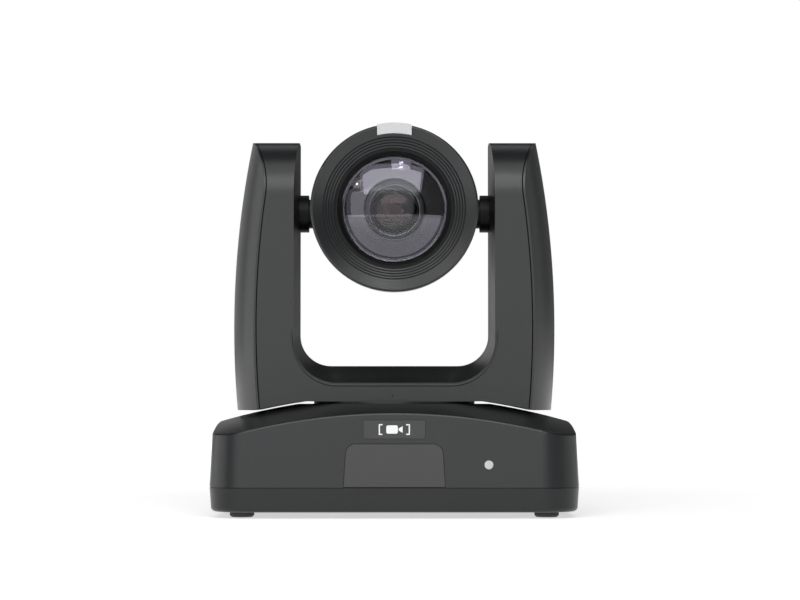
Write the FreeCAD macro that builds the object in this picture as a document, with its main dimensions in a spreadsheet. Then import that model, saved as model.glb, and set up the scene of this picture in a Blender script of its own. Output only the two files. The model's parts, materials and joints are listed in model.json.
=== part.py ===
"""Pan-tilt-zoom camera: a parametric document whose every size comes from one spreadsheet.

Millimetres, +Z up.  The origin is on the supporting surface, under the pan axis.  The lens looks along -Y.
"""
import FreeCAD, Part
import math
import os
import re

import Sketcher
from fcgear import involute
from fcgear.fcgear import FCWireBuilder

V = FreeCAD.Vector
doc = FreeCAD.newDocument("ptz_camera")

SIZES = [
    # base casing
    ("base_width", 180.0, "width at the seam between tray and cover"),
    ("base_depth", 145.0, "depth at the same seam"),
    ("base_corner", 19.0, "plan radius of the casing corners"),
    ("foot_height", 3.0, "feet below the tray"),
    ("foot_radius", 6.0, ""),
    ("foot_seat", 1.0, "depth of the recess each foot is glued in"),
    ("foot_inset", 15.6, "foot axis from the casing side"),
    ("foot_setback", 22.5, "foot axis from the casing front and back"),
    ("tray_height", 12.0, ""),
    ("tray_draft", 4.0, "degrees"),
    ("tray_wall", 3.2, ""),
    ("tray_floor", 2.4, ""),
    ("tray_round", 2.2, "bottom edge of the tray"),
    ("seam_step", 0.5, "shadow groove under the cover, height and depth"),
    ("cover_draft", 3.0, "degrees"),
    ("cover_wall", 2.4, ""),
    ("cover_round", 1.2, "edge between the sides and the domed top"),
    ("dome_radius", 315.0, "spherical top of the cover"),
    ("dome_apex", 58.9, "where that sphere would meet the pan axis"),
    ("plateau_level", 55.1, "flat top of the cover round the neck"),
    # panels in the casing walls
    ("window_half", 24.35, "infrared window, half width at the seam"),
    ("window_lean", 1.0, "how much narrower each side is at the top"),
    ("window_high", 20.8, ""),
    ("window_round", 4.6, ""),
    ("panel_gap", 0.3, "gap round every inserted panel"),
    ("panel_flange", 2.0, "flange behind the wall"),
    ("flange_thick", 1.2, ""),
    ("vent_half", 46.0, ""),
    ("vent_recess", 0.9, ""),
    ("louvre_pitch", 5.0, ""),
    ("louvre_width", 2.4, ""),
    ("louvre_high", 12.6, ""),
    ("badge_half", 14.85, ""),
    ("badge_high", 8.8, ""),
    ("badge_rise", 23.5, "lower edge of the badge above the seam"),
    ("badge_thick", 1.0, ""),
    ("status_x", 45.4, ""),
    ("status_rise", 10.9, "status light above the seam"),
    ("status_radius", 2.1, ""),
    # rear panel and electronics
    ("socket_side", 61.0, "half width of the opening in the back of the cover"),
    ("socket_high", 19.0, ""),
    ("plate_thick", 2.0, ""),
    ("plate_margin", 3.5, "rear plate beyond its opening, each side"),
    ("board_level", 15.6, "underside of the main board"),
    ("board_thick", 1.6, ""),
    ("board_half", 57.0, ""),
    ("fit_gap", 0.2, "clearance of parts that drop into holes"),
    # fastening points underneath
    ("tripod_radius", 2.55, "tapping bore of the 1/4 in - 20 tripod thread"),
    ("insert_radius", 6.0, ""),
    ("insert_high", 8.0, ""),
    ("bracket_pitch", 60.0, "square pattern of the wall bracket"),
    ("bracket_bore", 1.65, "tapping bore of the M4 inserts"),
    ("bracket_insert", 3.0, ""),
    ("bracket_high", 6.0, ""),
    ("boss_wall", 2.0, ""),
    ("screw_radius", 1.5, "M3 casing screws"),
    ("screw_head", 2.9, ""),
    ("screw_x", 26.0, "casing screw axis from the side"),
    ("screw_y", 11.5, "casing screw axis from the front and back"),
    # pan drive
    ("deck_level", 30.5, "underside of the chassis deck"),
    ("sheet_thick", 1.5, "folded sheet of the base chassis"),
    ("deck_half", 62.0, ""),
    ("deck_reach", 40.0, "half depth of the chassis"),
    ("bearing_bore", 15.0, "radius of the thin-section pan bearing's bore"),
    ("bearing_outer", 21.0, ""),
    ("bearing_width", 7.0, ""),
    ("ring_wall", 2.1, ""),
    ("ball_radius", 1.7, ""),
    ("ball_count", 18.0, ""),
    ("race_gap", 0.04, "clearance between ball and race"),
    ("housing_wall", 5.0, ""),
    ("housing_lip", 1.0, ""),
    ("cable_bore", 10.0, "hollow of the pan shaft"),
    ("cable_radius", 3.5, ""),
    ("gear_module", 0.8, ""),
    ("pan_teeth", 80.0, ""),
    ("pinion_teeth", 16.0, ""),
    ("gear_thick", 4.0, ""),
    ("gear_backlash", 0.15, "added to the centre distance"),
    ("spacer_high", 3.2, "gear hub between bearing and teeth"),
    ("motor_radius", 17.5, ""),
    ("pan_motor_high", 17.0, ""),
    ("motor_shaft", 2.0, ""),
    ("shaft_gap", 0.05, "radial clearance of every running fit"),
    # neck and yoke
    ("neck_radius", 41.0, ""),
    ("neck_gap", 1.0, "neck to the hole in the cover"),
    ("neck_depth", 7.3, ""),
    ("yoke_floor", 56.3, "underside of the yoke over the neck"),
    ("dome_gap", 0.75, "yoke arch above the dome"),
    ("arm_bottom", 51.9, ""),
    ("arm_top", 187.9, ""),
    ("arm_depth", 70.0, ""),
    ("arm_round", 29.0, "side-view radius of the arm tops"),
    ("bulge_half", 81.8, "half width over the arms at their widest"),
    ("bulge_level", 94.6, "height of the widest place"),
    ("bulge_radius", 473.0, "front-view radius of the side covers"),
    ("bulge_section", 57.8, "plan radius of the side covers"),
    ("yoke_wall", 2.2, ""),
    ("skin_thick", 0.8, "edge of the side cover that laps over the yoke"),
    ("skin_gap", 0.45, "shadow line between side cover and yoke"),
    ("lip_thick", 1.8, ""),
    ("lip_gap", 0.3, ""),
    ("liner_half", 54.0, "outline of the liner in the front view"),
    ("liner_floor", 61.9, ""),
    ("liner_round", 25.4, ""),
    ("liner_gap", 0.0, ""),
    ("liner_wall", 2.0, ""),
    ("mouth_half", 50.2, "opening between the arms at the front and back"),
    ("mouth_floor", 65.0, ""),
    ("mouth_round", 22.0, ""),
    ("crown_half", 48.2, "the same opening half way back"),
    ("crown_level", 74.3, ""),
    ("crown_round", 16.0, ""),
    ("bracket_sheet", 1.6, "folded sheet of the yoke chassis"),
    ("upright_x", 51.5, "inner face of its uprights"),
    ("upright_half", 14.0, ""),
    ("cradle_half", 22.0, ""),
    # tilt axis and drive
    ("tilt_level", 152.2, ""),
    ("bush_radius", 9.5, ""),
    ("bush_face", 43.7, "inner face of the bushes"),
    ("bush_spigot", 7.5, ""),
    ("bush_gap", 0.15, "end float of the head"),
    ("trunnion_radius", 5.0, ""),
    ("trunnion_flange", 7.4, ""),
    ("belt_pitch", 2.0, ""),
    ("tilt_teeth", 44.0, ""),
    ("drive_teeth", 20.0, ""),
    ("belt_width", 6.0, ""),
    ("belt_thick", 1.3, ""),
    ("belt_gap", 0.1, ""),
    ("pulley_rim", 0.8, ""),
    ("tilt_motor_high", 10.5, ""),
    ("drive_centre", 57.2, "between the two pulleys"),
    # head
    ("lens_drop", 0.7, "lens axis below the tilt axis"),
    ("head_radius", 41.4, ""),
    ("head_front", 50.0, "front rim, forward of the tilt axis"),
    ("head_rear", 52.0, ""),
    ("head_wall", 2.2, ""),
    ("bezel_depth", 9.0, ""),
    ("bezel_fall", 4.8, "how far the face sinks towards the lens"),
    ("bezel_bore", 29.2, ""),
    ("bezel_round", 1.1, ""),
    ("groove_deep", 0.35, ""),
    ("groove_pitch", 1.32, ""),
    ("groove_outer", 35.0, "radius of the outermost groove"),
    ("barrel_lap", 0.8, "thickness of the barrel where it laps over the bezel and the cap"),
    ("barrel_step", 0.7, "barrel radius below the rim radius"),
    ("barrel_rear", 30.0, "joint between barrel and rear cap"),
    ("barrel_fall", 4.2, "how much smaller the radius is at that joint"),
    ("cap_round", 14.0, ""),
    ("tally_half", 8.5, ""),
    ("tally_inner", 36.7, ""),
    ("tally_proud", 0.5, ""),
    ("tally_back", 7.0, ""),
    # optics
    ("hood_bore", 26.4, ""),
    ("hood_front", 45.6, ""),
    ("glass_edge", 42.6, "front edge of the front lens"),
    ("glass_crown", 5.6, ""),
    ("glass_thick", 5.0, ""),
    ("tube_radius", 28.4, "outer radius of the lens barrel"),
    ("tube_rear", 22.0, ""),
    ("tube_wall", 2.1, ""),
    ("baffle_front", 30.0, ""),
    ("baffle_bore", 12.4, ""),
    ("rod_radius", 1.0, ""),
    ("rod_offset", 21.0, ""),
    ("carriage_thick", 5.0, ""),
    ("zoom_place", -14.0, ""),
    ("focus_place", 6.0, ""),
    ("iris_place", -24.0, ""),
]

sheet = doc.addObject("Spreadsheet::Sheet", "size")
for row, (alias, number, note) in enumerate(SIZES, start=1):
    sheet.set("A%d" % row, alias)
    sheet.set("B%d" % row, str(number))
    sheet.set("C%d" % row, note)
    sheet.setAlias("B%d" % row, alias)
doc.recompute()


def full(text):
    """An expression on the sheet: every word with an underscore is one of its aliases."""
    return re.sub(r"\b[a-z]+_\w+\b", r"size.\g<0>", str(text))


def value(text):
    """The number an expression gives now."""
    number = sheet.evalExpression(full(text))
    return float(getattr(number, "Value", number))


def bind(thing, **properties):
    for name, text in properties.items():
        thing.setExpression(name, full(text))
    return thing


def put(thing, x="0", y="0", z="0"):
    for name, text in (("x", x), ("y", y), ("z", z)):
        thing.setExpression(".Placement.Base." + name, full(text))
    return thing


def turn(thing, axis, degrees):
    thing.Placement = FreeCAD.Placement(thing.Placement.Base, FreeCAD.Rotation(V(*axis), degrees))
    return thing


# ---------------------------------------------------------------- primitives and booleans

def box(label, x, y, z):
    """A box between pairs of expressions."""
    block = doc.addObject("Part::Box", label)
    bind(block, Length="(%s) - (%s)" % (x[1], x[0]), Width="(%s) - (%s)" % (y[1], y[0]),
         Height="(%s) - (%s)" % (z[1], z[0]))
    return put(block, x[0], y[0], z[0])


AXES = {"x": ((0, 1, 0), 90), "y": ((1, 0, 0), -90), "z": ((0, 0, 1), 0)}


def rod(label, axis, radius, start, end, first="0", second="0"):
    """A cylinder along an axis; first and second are its two other coordinates, in x, y, z order."""
    cylinder = doc.addObject("Part::Cylinder", label)
    turn(cylinder, *AXES[axis])
    bind(cylinder, Radius=radius, Height="(%s) - (%s)" % (end, start))
    place = {"x": (start, first, second), "y": (first, start, second), "z": (first, second, start)}
    return put(cylinder, *place[axis])


def tube(label, axis, outer, inner, start, end, first="0", second="0"):
    return cut(label, rod(label + "_outside", axis, outer, start, end, first, second),
               rod(label + "_bore", axis, inner, "(%s) - 1" % start, "(%s) + 1" % end, first, second))


def fuse(label, *things):
    joined = doc.addObject("Part::MultiFuse", label)
    joined.Shapes = list(things)
    return joined


def cut(label, base, *tools):
    result = doc.addObject("Part::Cut", label)
    result.Base = base
    result.Tool = tools[0] if len(tools) == 1 else fuse(label + "_tools", *tools)
    return result


def common(label, first, second):
    result = doc.addObject("Part::Common", label)
    result.Base = first
    result.Tool = second
    return result


def rounded(label, base, radius, wanted):
    """Rounds the edges of a shape that the test wanted(edge) picks."""
    doc.recompute()
    result = doc.addObject("Part::Fillet", label)
    result.Base = base
    size = value(radius)
    picked = [n for n, edge in enumerate(base.Shape.Edges, start=1) if wanted(edge)]
    result.Edges = [(n, size, size) for n in picked]
    return result


# ---------------------------------------------------------------- sketched bodies

PLANES = {"xy": "XY_Plane", "xz": "XZ_Plane", "yz": "YZ_Plane"}


def outline(body, label, plane, points, level=None):
    """A closed, fully dimensioned sketch.

    A point is (x, y), or (x, y, radius) where an arc runs from it to the next point: a positive radius
    goes round anticlockwise, a negative one clockwise.
    """
    sketch = body.newObject("Sketcher::SketchObject", label)
    support = [o for o in body.Origin.OriginFeatures if o.Role == PLANES[plane]][0]
    sketch.AttachmentSupport = [(support, "")]
    sketch.MapMode = "FlatFace"
    if level is not None:
        sketch.setExpression("AttachmentOffset.Base.z", full(level))
    spots = [V(value(p[0]), value(p[1]), 0) for p in points]
    starts = []
    for n, point in enumerate(points):
        here, there = spots[n], spots[(n + 1) % len(spots)]
        if len(point) == 2:
            sketch.addGeometry(Part.LineSegment(here, there), False)
            starts.append((1, 2))
            continue
        radius = value(point[2])
        chord = there - here
        rise = math.sqrt(max(radius * radius - chord.Length ** 2 / 4, 0))
        left = V(-chord.y, chord.x, 0).normalize()
        centre = (here + there) * 0.5 + left * (rise if radius > 0 else -rise)
        first, last = (here, there) if radius > 0 else (there, here)
        angles = [math.atan2(p.y - centre.y, p.x - centre.x) for p in (first, last)]
        circle = Part.Circle(centre, V(0, 0, 1), abs(radius))
        sketch.addGeometry(Part.ArcOfCircle(circle, angles[0], angles[1]), False)
        starts.append((1, 2) if radius > 0 else (2, 1))
    for n, point in enumerate(points):
        after = (n + 1) % len(points)
        sketch.addConstraint(Sketcher.Constraint("Coincident", n, starts[n][1], after, starts[after][0]))
    for n, point in enumerate(points):
        for kind, text in (("DistanceX", point[0]), ("DistanceY", point[1])):
            size = value(text)
            k = sketch.addConstraint(Sketcher.Constraint(kind, -1, 1, n, starts[n][0], size))
            sketch.setExpression("Constraints[%d]" % k, full(text))
        if len(point) == 3:
            k = sketch.addConstraint(Sketcher.Constraint("Radius", n, abs(value(point[2]))))
            sketch.setExpression("Constraints[%d]" % k, full("abs(%s)" % point[2]))
    return sketch


def body_named(label):
    return doc.addObject("PartDesign::Body", label)


def prism(label, plane, points, length, level=None, taper=None, both=True):
    """A body padded from one outline: half each way, or upwards from its level."""
    body = body_named(label)
    pad = body.newObject("PartDesign::Pad", label + "_pad")
    pad.Profile = outline(body, label + "_outline", plane, points, level)
    bind(pad, Length=length)
    if both:
        pad.SideType = "Symmetric"
    if taper is not None:
        bind(pad, TaperAngle=taper)
    return body


def turned(label, axis, points, x="0", y="0", z="0"):
    """A body turned about an axis; its points are (along the axis, radius)."""
    body = body_named(label)
    plane = {"x": "xz", "y": "yz", "z": "xz"}[axis]
    if axis == "z":
        points = [(p[1], p[0]) + tuple(p[2:]) for p in points]
    sketch = outline(body, label + "_outline", plane, points)
    lathe = body.newObject("PartDesign::Revolution", label + "_turn")
    lathe.Profile = sketch
    lathe.ReferenceAxis = (sketch, ["V_Axis" if axis == "z" else "H_Axis"])
    lathe.Angle = 360
    return put(body, x, y, z)


def rectangle(width, depth, corner):
    """A rounded rectangle about the origin, from its half sizes and corner radius."""
    w, d, c = "(%s)" % width, "(%s)" % depth, "(%s)" % corner
    return [
        ("-%s + %s" % (w, c), "-" + d), (w + " - " + c, "-" + d, c),
        (w, "-%s + %s" % (d, c)), (w, d + " - " + c, c),
        (w + " - " + c, d), ("-%s + %s" % (w, c), d, c),
        ("-" + w, d + " - " + c), ("-" + w, "-%s + %s" % (d, c), c),
    ]


def plain_box(half_x, low, high):
    return [("-(%s)" % half_x, low), (half_x, low), (half_x, high), ("-(%s)" % half_x, high)]


# ---------------------------------------------------------------- base casing

SEAM = "(foot_height + tray_height)"
FLOOR = "(foot_height + tray_floor)"
HALF_W = "(base_width / 2)"
HALF_D = "(base_depth / 2)"
CORNERS = [(sx, sy) for sx in ("-", "") for sy in ("-", "")]


def casing(label, inset):
    """The solid under the domed top, offset inwards."""
    foot = rectangle("base_width / 2 - %s" % inset, "base_depth / 2 - %s" % inset, "base_corner - %s" % inset)
    block = prism(label + "_block", "xy", foot, "plateau_level - %s - %s" % (inset, SEAM), SEAM,
                  "-cover_draft", both=False)
    dome = doc.addObject("Part::Sphere", label + "_dome")
    bind(dome, Radius="dome_radius - %s" % inset)
    put(dome, z="dome_apex - dome_radius")
    return common(label, block, dome)


def in_wall(thing, yaw, draft=True):
    """Puts a thing drawn on the front wall, seen from its foot at the seam, on any wall."""
    lean = FreeCAD.Rotation(V(1, 0, 0), -value("cover_draft") if draft else 0)
    thing.Placement = FreeCAD.Placement(V(0, 0, 0), FreeCAD.Rotation(V(0, 0, 1), yaw) * lean)
    x, y = {0: ("0", "-" + HALF_D), 90: (HALF_W, "0"), 180: ("0", HALF_D), -90: ("-" + HALF_W, "0")}[yaw]
    return put(thing, x, y, SEAM)


def panel(label, yaw, half, lean, high, corner, near, far, foot="0"):
    """A flat panel with two rounded upper corners, between two depths behind the wall's face."""
    top = "(%s) - (%s)" % (half, lean)
    points = [
        ("-(%s)" % half, foot), (half, foot),
        ("%s" % top, "(%s) - (%s)" % (high, corner), corner), ("%s - (%s)" % (top, corner), high),
        ("-(%s - (%s))" % (top, corner), high, corner), ("-(%s)" % top, "(%s) - (%s)" % (high, corner)),
    ]
    body = body_named(label)
    pad = body.newObject("PartDesign::Pad", label + "_pad")
    # the sheet plane's normal is -Y, so a depth behind the wall is a negative level
    pad.Profile = outline(body, label + "_outline", "xz", points, "-(%s)" % far)
    bind(pad, Length="(%s) - (%s)" % (far, near))
    return in_wall(body, yaw)


def base_tray():
    fall = "tray_height * tan(tray_draft * 1 deg)"
    body = body_named("tray_pan")
    pad = body.newObject("PartDesign::Pad", "tray_block")
    pad.Profile = outline(body, "tray_foot", "xy",
                          rectangle("base_width / 2 - " + fall, "base_depth / 2 - " + fall, "base_corner - " + fall),
                          "foot_height")
    bind(pad, Length="tray_height - seam_step", TaperAngle="tray_draft")
    rim = body.newObject("PartDesign::Pad", "tray_rim")
    rim.Profile = outline(body, "rim_outline", "xy",
                          rectangle("base_width / 2 - 2 * seam_step", "base_depth / 2 - 2 * seam_step",
                                    "base_corner - 2 * seam_step"), SEAM + " - 2 * seam_step")
    bind(rim, Length="2 * seam_step")
    hollow = body.newObject("PartDesign::Pocket", "tray_hollow")
    hollow.Profile = outline(body, "hollow_outline", "xy",
                             rectangle("base_width / 2 - tray_wall", "base_depth / 2 - tray_wall",
                                       "base_corner - tray_wall"), SEAM)
    bind(hollow, Length="tray_height - tray_floor")
    doc.recompute()
    names = ["Edge%d" % n for n, e in enumerate(body.Shape.Edges, start=1)
             if abs(e.BoundBox.ZMax - value("foot_height")) < 1e-6]
    edge = body.newObject("PartDesign::Fillet", "tray_edge")
    edge.Base = (hollow, names)
    bind(edge, Radius="tray_round")
    posts = [rod("tray_post", "z", "screw_head + boss_wall", FLOOR, SEAM, sx + SCREW_X, sy + SCREW_Y)
             for sx, sy in CORNERS]
    posts += [rod("board_post", "z", "2 * boss_wall", FLOOR, "board_level", sx + "(board_half - 2 * boss_wall)", y)
              for sx in ("-", "") for y in BOARD_POSTS]
    posts += [rod("bracket_boss", "z", "bracket_insert + boss_wall", FLOOR, "foot_height + bracket_high",
                  sx + "bracket_pitch / 2", sy + "bracket_pitch / 2") for sx, sy in CORNERS]
    posts.append(rod("tripod_boss", "z", "insert_radius + boss_wall", FLOOR, "foot_height + insert_high"))
    holes = [rod("foot_recess", "z", "foot_radius", "foot_height - 1", "foot_height + foot_seat",
                 sx + FOOT_X, sy + FOOT_Y) for sx, sy in CORNERS]
    holes += [rod("bracket_hole", "z", "bracket_insert", "0", "foot_height + bracket_high + 1",
                  sx + "bracket_pitch / 2", sy + "bracket_pitch / 2") for sx, sy in CORNERS]
    holes += [rod("screw_way", "z", "screw_radius + fit_gap", "0", SEAM + " + 1", sx + SCREW_X, sy + SCREW_Y)
              for sx, sy in CORNERS]
    holes += [rod("head_way", "z", "screw_head + fit_gap", "0", HEAD_SEAT, sx + SCREW_X, sy + SCREW_Y)
              for sx, sy in CORNERS]
    holes.append(rod("tripod_hole", "z", "insert_radius", "0", "foot_height + insert_high + 1"))
    return cut("base_tray", fuse("tray_whole", body, *posts), *holes)


FOOT_X = "(base_width / 2 - foot_inset)"
FOOT_Y = "(base_depth / 2 - foot_setback)"
SCREW_X = "(base_width / 2 - screw_x)"
SCREW_Y = "(base_depth / 2 - screw_y)"
HEAD_SEAT = "(foot_height + 2 * screw_radius)"
BOARD_REAR = "(base_depth / 2 - 10.5)"
BOARD_FRONT = "(-8)"
BOARD_POSTS = (BOARD_FRONT + " + 5", BOARD_REAR + " - 18")


def rubber_feet():
    feet = []
    for sx, sy in CORNERS:
        feet.append(turned("foot", "z", [("0", "0"), ("0", "foot_radius - 0.9"), ("0.9", "foot_radius"),
                                         ("foot_height + foot_seat", "foot_radius"),
                                         ("foot_height + foot_seat", "0")], sx + FOOT_X, sy + FOOT_Y))
    return fuse("rubber_feet", *feet)


def tray_screws():
    screws = []
    for sx, sy in CORNERS:
        screws.append(turned("casing_screw", "z", [
            ("foot_height + 0.8", "0"), ("foot_height + 0.8", "screw_head"), (HEAD_SEAT, "screw_head"),
            (HEAD_SEAT, "screw_radius"), (SEAM + " + 8", "screw_radius"), (SEAM + " + 9", "0")],
            sx + SCREW_X, sy + SCREW_Y))
    return fuse("tray_screws", *screws)


def base_cover():
    outer = rounded("cover_outside", casing("cover_outer", "0"), "cover_round",
                    lambda e: e.BoundBox.ZMax > value(SEAM) + 10 and e.BoundBox.DiagonalLength > 3
                    and max(abs(e.BoundBox.XMax), abs(e.BoundBox.XMin), abs(e.BoundBox.YMin) + 17,
                            abs(e.BoundBox.YMax) + 17) > value("base_width / 2") - 6
                    and e.BoundBox.ZMin > value(SEAM) + 10)
    posts = fuse("cover_posts", *[rod("cover_post", "z", "screw_head + boss_wall", SEAM, "plateau_level",
                                      sx + SCREW_X, sy + SCREW_Y) for sx, sy in CORNERS])
    posts_in = common("cover_posts_in", posts, casing("cover_middle", "(cover_wall / 2)"))
    shell = cut("cover_shell", outer, casing("cover_inner", "cover_wall"))
    whole = fuse("cover_whole", shell, posts_in)
    gap = "panel_gap"
    tools = [
        rod("neck_hole", "z", "neck_radius + neck_gap", SEAM, "plateau_level + 5"),
        panel("window_opening", 0, "window_half + " + gap, "window_lean", "window_high + " + gap,
              "window_round + " + gap, "-5", "cover_wall + 3"),
        in_wall(prism("badge_recess", "xz", plain_box("badge_half + fit_gap", "badge_rise - fit_gap",
                                                      "badge_rise + badge_high + fit_gap"),
                      "2 * badge_thick"), 0),
        rod("status_hole", "y", "status_radius + fit_gap / 2", "-%s - 1" % HALF_D, "-%s + 8" % HALF_D,
            "status_x", SEAM + " + status_rise"),
        in_wall(prism("socket_opening", "xz", plain_box("socket_side", "2", "2 + socket_high"), "14"), 180),
    ]
    for yaw in (90, -90):
        tools.append(panel("vent_opening", yaw, "vent_half + " + gap, "window_lean", "window_high + " + gap,
                           "window_round + " + gap, "-5", "cover_wall + 3"))
    for sx, sy in CORNERS:
        tools.append(rod("screw_pilot", "z", "screw_radius", SEAM + " - 1", SEAM + " + 12",
                         sx + SCREW_X, sy + SCREW_Y))
    return cut("base_cover", whole, *tools)


def flanged(label, yaw, half, face, back="cover_wall"):
    """A panel flush in the wall with a wider flange behind it."""
    front = panel(label + "_plate", yaw, half, "window_lean", "window_high", "window_round", face, back, "panel_gap")
    rear = panel(label + "_flange", yaw, half + " + panel_flange", "window_lean", "window_high + panel_flange",
                 "window_round + panel_flange", "cover_wall", "cover_wall + flange_thick", "panel_gap")
    return front, rear


def wall_panels():
    front, rear = flanged("window", 0, "window_half", "0.15")
    fuse("ir_window", front, rear)
    grilles = []
    for name, yaw in (("right", 90), ("left", -90)):
        front, rear = flanged(name + "_vent", yaw, "vent_half", "vent_recess")
        slots = []
        count = int(value("(vent_half - 8) / louvre_pitch"))
        for n in range(-count, count + 1):
            slot = prism(name + "_louvre", "xz", plain_box("louvre_width / 2", "3.4", "3.4 + louvre_high"), "20")
            in_wall(slot, yaw)
            shift = "(%d * louvre_pitch)" % n
            if yaw == 90:
                put(slot, HALF_W, shift, SEAM)
            else:
                put(slot, "-" + HALF_W, shift, SEAM)
            slots.append(slot)
        grilles.append(cut(name + "_vent", fuse(name + "_vent_solid", front, rear), *slots))
    fuse("vent_grilles", *grilles)
    in_wall(prism("badge_plate", "xz", plain_box("badge_half", "badge_rise", "badge_rise + badge_high"),
                  "badge_thick", "-badge_thick", both=False), 0)
    rod("status_light_pipe", "y", "status_radius", STATUS_FACE, SENSOR_FACE, "status_x", SEAM + " + status_rise")


STATUS_FACE = "(-base_depth / 2 + 0.45)"
SENSOR_FACE = "(-base_depth / 2 + 6.5)"


def front_sensor_board():
    board = box("sensor_sheet", ("-20", "status_x + 6"), (SENSOR_FACE, SENSOR_FACE + " + board_thick"),
                (FLOOR, SEAM + " + window_high - 2"))
    eye = rod("infrared_eye", "y", "3", SENSOR_FACE + " - 1.6", SENSOR_FACE, "0", SEAM + " + 11")
    return fuse("front_sensor_board", board, eye)


# ---------------------------------------------------------------- electronics and rear sockets

PLATE_FACE = "(base_depth / 2 - 4)"
BOARD_TOP = "(board_level + board_thick)"
# Standard sockets: label, centre x, half width, depth behind the plate, height, then the mouth's half
# width, its lowest and highest level and the same of the contact carrier inside it
SOCKETS = [
    ("dc_jack", -53, 5.0, 14, 11.0, 3.2, 3.0, 9.4, 5.2, 7.2),
    ("video_port", -33, 8.0, 12, 6.4, 7.1, 1.0, 5.2, 2.6, 3.6),
    ("usb_port", -13, 7.2, 15, 7.2, 6.2, 1.4, 5.8, 3.4, 4.8),
    ("lan_port", 8.5, 8.2, 21, 13.6, 6.0, 2.2, 10.8, 2.8, 4.2),
]


def socket(label, x, half, deep, high, mouth, low, top, carrier_low, carrier_top):
    shell = box(label + "_shell", ("%g - %g" % (x, half), "%g + %g" % (x, half)),
                (PLATE_FACE + " - %g" % deep, PLATE_FACE), (BOARD_TOP, BOARD_TOP + " + %g" % high))
    hollow = box(label + "_hollow", ("%g - %g" % (x, mouth), "%g + %g" % (x, mouth)),
                 (PLATE_FACE + " - %g" % (deep - 3), PLATE_FACE + " + 1"),
                 (BOARD_TOP + " + %g" % low, BOARD_TOP + " + %g" % top))
    contact = box(label + "_contact", ("%g - %g" % (x, mouth * 0.6), "%g + %g" % (x, mouth * 0.6)),
                  (PLATE_FACE + " - %g" % (deep - 3), PLATE_FACE + " - 2.5"),
                  (BOARD_TOP + " + %g" % carrier_low, BOARD_TOP + " + %g" % carrier_top))
    return fuse(label, cut(label + "_case", shell, hollow), contact)


ROUND_SOCKETS = [("serial_ports", 27.5, 7.2, 4.2), ("serial_ports", 42.6, 7.2, 4.2), ("audio_jack", 54.4, 3.8, 1.85)]


def round_socket(label, x, half, mouth):
    shell = box(label + "_shell", ("%g - %g" % (x, half), "%g + %g" % (x, half)),
                (PLATE_FACE + " - 12", PLATE_FACE), (BOARD_TOP, BOARD_TOP + " + %g" % (2 * half)))
    hollow = rod(label + "_hollow", "y", "%g" % mouth, PLATE_FACE + " - 9.5", PLATE_FACE + " + 1", "%g" % x,
                 BOARD_TOP + " + %g" % half)
    return cut(label + "_one", shell, hollow)


def rear_electronics():
    openings = []
    made = {}
    for row in SOCKETS:
        made[row[0]] = socket(*row)
        label, x, half, deep, high = row[:5]
        openings.append(box(label + "_opening", ("%g - %g - fit_gap" % (x, half), "%g + %g + fit_gap" % (x, half)),
                            (PLATE_FACE + " - plate_thick - 1", PLATE_FACE + " + 1"),
                            (BOARD_TOP + " - fit_gap", BOARD_TOP + " + %g + fit_gap" % high)))
    singles = {}
    for label, x, half, mouth in ROUND_SOCKETS:
        singles.setdefault(label, []).append(round_socket(label, x, half, mouth))
        openings.append(box(label + "_opening", ("%g - %g - fit_gap" % (x, half), "%g + %g + fit_gap" % (x, half)),
                            (PLATE_FACE + " - plate_thick - 1", PLATE_FACE + " + 1"),
                            (BOARD_TOP + " - fit_gap", BOARD_TOP + " + %g + fit_gap" % (2 * half))))
    fuse("video_usb_ports", made["video_port"], made["usb_port"])
    fuse("serial_ports", *singles["serial_ports"])
    singles["audio_jack"][0].Label = "audio_jack"
    plate = box("rear_plate", ("-socket_side - plate_margin", "socket_side + plate_margin"),
                (PLATE_FACE + " - plate_thick", PLATE_FACE), (FLOOR, SEAM + " + 2 + socket_high + 2"))
    cut("rear_io_panel", plate, *openings)
    board = box("board_sheet", ("-board_half", "board_half"), (BOARD_FRONT, PLATE_FACE + " - plate_thick - fit_gap"),
                ("board_level", BOARD_TOP))
    chips = [box("processor", ("-11", "11"), ("18", "40"), (BOARD_TOP, BOARD_TOP + " + 2.5")),
             box("memory", ("20", "34"), ("22", "36"), (BOARD_TOP, BOARD_TOP + " + 1.4")),
             box("regulator", ("-46", "-30"), ("14", "26"), (BOARD_TOP, BOARD_TOP + " + 5"))]
    fuse("main_board", board, *chips)


# ---------------------------------------------------------------- pan drive

DECK = "(deck_level + sheet_thick)"
RACE_LOW = "(%s + housing_lip)" % DECK
RACE_HIGH = "(%s + bearing_width)" % RACE_LOW
GEAR_LOW = "(%s + spacer_high)" % RACE_HIGH
GEAR_HIGH = "(%s + gear_thick)" % GEAR_LOW
PAN_CENTRE = "(gear_module * (pan_teeth + pinion_teeth) / 2 + gear_backlash)"
PAN_YAW = 225
MOTOR_X = "(%s * cos(%d deg))" % (PAN_CENTRE, PAN_YAW)
MOTOR_Y = "(%s * sin(%d deg))" % (PAN_CENTRE, PAN_YAW)
BALL_CIRCLE = "((bearing_bore + bearing_outer) / 2)"


def gear(label, teeth, low, high, x, y, turned_by):
    """An involute spur gear, its first tooth turned to an angle."""
    maker = FCWireBuilder()
    involute.CreateExternalGear(maker, value("gear_module"), int(value(teeth)), 20.0, True)
    wire = Part.Wire([piece.toShape() for piece in maker.wire])
    disc = Part.Face(wire).extrude(V(0, 0, value(high) - value(low)))
    toothed = doc.addObject("Part::Feature", label)
    toothed.Shape = disc
    toothed.Placement = FreeCAD.Placement(V(0, 0, 0), FreeCAD.Rotation(V(0, 0, 1), turned_by))
    return put(toothed, x, y, low)


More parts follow.
